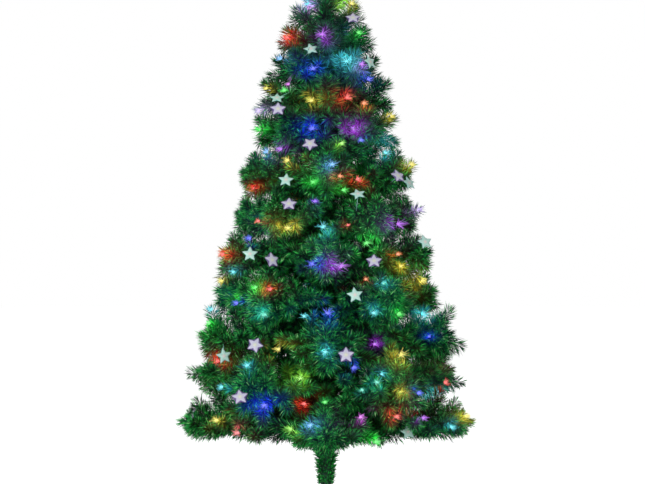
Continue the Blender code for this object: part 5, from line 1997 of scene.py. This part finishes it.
    def wind_trunk(
        self, name: str, span: Pair, reaches: Pair, winding: Winding,
    ) -> bpy.types.Object:
        """Lay needles round a stretch of the trunk that stand outwards, and mostly upwards.

        Args:
            name: the piece.
            span: heights of its lower and its upper end.
            reaches: how far from the trunk's axis its needles reach at its two ends.
            winding: how they are laid.

        Returns:
            The piece.
        """
        rng = np.random.default_rng(91)
        bottom, top = span
        count = int(winding.per_metre * (top - bottom))
        share = (np.arange(count) + rng.random(count)) / count
        angle = np.arange(count) * GOLDEN_ANGLE
        height = bottom + self.trunk_foot + (top - bottom - self.trunk_foot) * share
        radial = stacked(np.cos(angle), np.sin(angle), 0.0)
        root = radial * self.trunk_radius + stacked(0.0, 0.0, height)
        drop = rng.uniform(*winding.slants, count)
        direction = unit(radial - stacked(0.0, 0.0, drop) + rng.normal(0, winding.slant_noise, (count, 3)))
        reach = reaches[0] + (reaches[1] - reaches[0]) * share
        length = (reach - self.trunk_radius) * rng.uniform(*winding.lengths, count)
        tip = root + direction * length[:, None]
        tip[:, 2] = np.maximum(tip[:, 2], bottom)
        spin = rng.uniform(0, math.tau, count)
        blades = folded_blades(root, tip, direction, spin, winding.widest, winding.keel, winding.half_width)
        tones = blade_tones(rng.normal(winding.tone, winding.tone_noise, count), winding.paler)
        return self.blade_piece(name, blades, tones)

    def dress_frame(self) -> None:
        """Give every node of the frame that still shows its own finish."""
        kinds = {
            "hinge_ring": Slot.RING_PLASTIC, "lower_pole": Slot.TRUNK_TUBE, "upper_pole": Slot.TRUNK_TUBE,
            "loom": Slot.LOOM_SLEEVE, "dc_inlet": Slot.BLACK_PLASTIC,
        }
        for name, node in frame["nodes"].items():
            for start, slot in kinds.items():
                if name.startswith(start):
                    node.data.materials.clear()
                    node.data.materials.append(self.wardrobe.finishes[slot])

    def build(self) -> None:
        """Build every piece of the tree."""
        by_limb: dict[int, list[Light]] = {}
        for light in self.lights:
            by_limb.setdefault(self.owner_of(light), []).append(light)
        stars = self.place_stars()
        for limb_number, limb in enumerate(self.limbs):
            self.build_limb(limb_number, by_limb.get(limb_number, []))
            self.star_piece(limb, stars[limb_number])
        self.build_garland()
        self.dress_frame()
        Stand(self.wardrobe).build()


@dataclass(frozen=True)
class Lamp:
    """One soft square lamp."""

    name: str
    place: Triple
    size: float
    power: float


@dataclass(frozen=True)
class Studio:
    """A plain pale floor and soft light."""

    floor_radius: float = 14.0
    floor_sides: int = 64
    floor_light: float = 0.74
    floor_greys: Pair = (0.80, 0.84)
    world_light: float = 0.36
    aim_height: float = 0.9
    lamps: tuple[Lamp, ...] = (
        Lamp("key", (-2.6, -3.8, 2.5), 1.6, 114.0),
        Lamp("fill", (1.6, -4.4, 0.5), 2.4, 52.0),
        Lamp("rear", (0.6, 3.4, 3.2), 3.0, 50.0),
    )

    def build(self) -> None:
        """Make the floor, the world and the lamps."""
        self.make_floor()
        self.make_world()
        for lamp in self.lamps:
            self.make_lamp(lamp)
        bpy.context.scene.view_settings.view_transform = "Standard"

    def make_floor(self) -> None:
        """Lay a wide round floor."""
        angle = ring_angles(self.floor_sides)
        ring = stacked(np.cos(angle), np.sin(angle), 0.0) * self.floor_radius
        fan = fan_faces(0, self.floor_sides, self.floor_sides, outward=True)
        builder = MeshBuilder("floor")
        builder.add(np.concatenate([ring, np.zeros((1, 3))]), fan)
        floor = builder.build()
        recipe = Recipe("pale_floor")
        seen = recipe.node("ShaderNodeLightPath", output="Is Camera Ray")
        lit = recipe.mix(seen, (0.0, 0.0, 0.0), (self.floor_light,) * 3)
        colour = recipe.mix(recipe.noise(30.0, 3.0), *((grey,) * 3 for grey in self.floor_greys))
        floor.data.materials.append(
            recipe.finish(Base_Color=colour, Roughness=0.9, Emission_Color=lit, Emission_Strength=1.0),
        )
        floor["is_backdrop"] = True

    def make_world(self) -> None:
        """Make the world: white to the camera and to reflections, soft grey as a light."""
        world = bpy.data.worlds.new("studio")
        bpy.context.scene.world = world
        world.use_nodes = True
        nodes = NodeTree(world.node_tree)
        rays = {place: nodes.node("ShaderNodeLightPath", output=f"Is {kind} Ray")
                for place, kind in enumerate(("Camera", "Transmission"))}
        seen = nodes.node("ShaderNodeMath", {"operation": "MAXIMUM"}, rays)
        inputs = {"Value": seen, "To Min": self.world_light, "To Max": 1.0}
        level = nodes.node("ShaderNodeMapRange", inputs=inputs)
        background = world.node_tree.nodes["Background"]
        nodes.put(background.inputs["Strength"], level)
        nodes.put(background.inputs["Color"], (1.0, 1.0, 1.0))

    def make_lamp(self, lamp: Lamp) -> None:
        """Make a lamp that looks at the middle of the tree."""
        data = bpy.data.lights.new(lamp.name, "AREA")
        data.size = lamp.size
        data.energy = lamp.power
        made = bpy.data.objects.new(lamp.name, data)
        made.location = lamp.place
        aim = np.array([0.0, 0.0, self.aim_height]) - np.array(lamp.place)
        pitch = math.atan2(aim[2], math.hypot(aim[0], aim[1]))
        made.rotation_euler = (math.pi / 2 + pitch, 0.0, math.atan2(aim[1], aim[0]) - math.pi / 2)
        bpy.context.scene.collection.objects.link(made)


def main() -> None:
    """Build the camera, the tree and the studio."""
    logging.basicConfig(level=logging.INFO, format="%(message)s")
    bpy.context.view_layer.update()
    builder = TreeBuilder()
    builder.photograph.make_camera()
    builder.build()
    Studio().build()


if __name__ == "__main__":
    main()
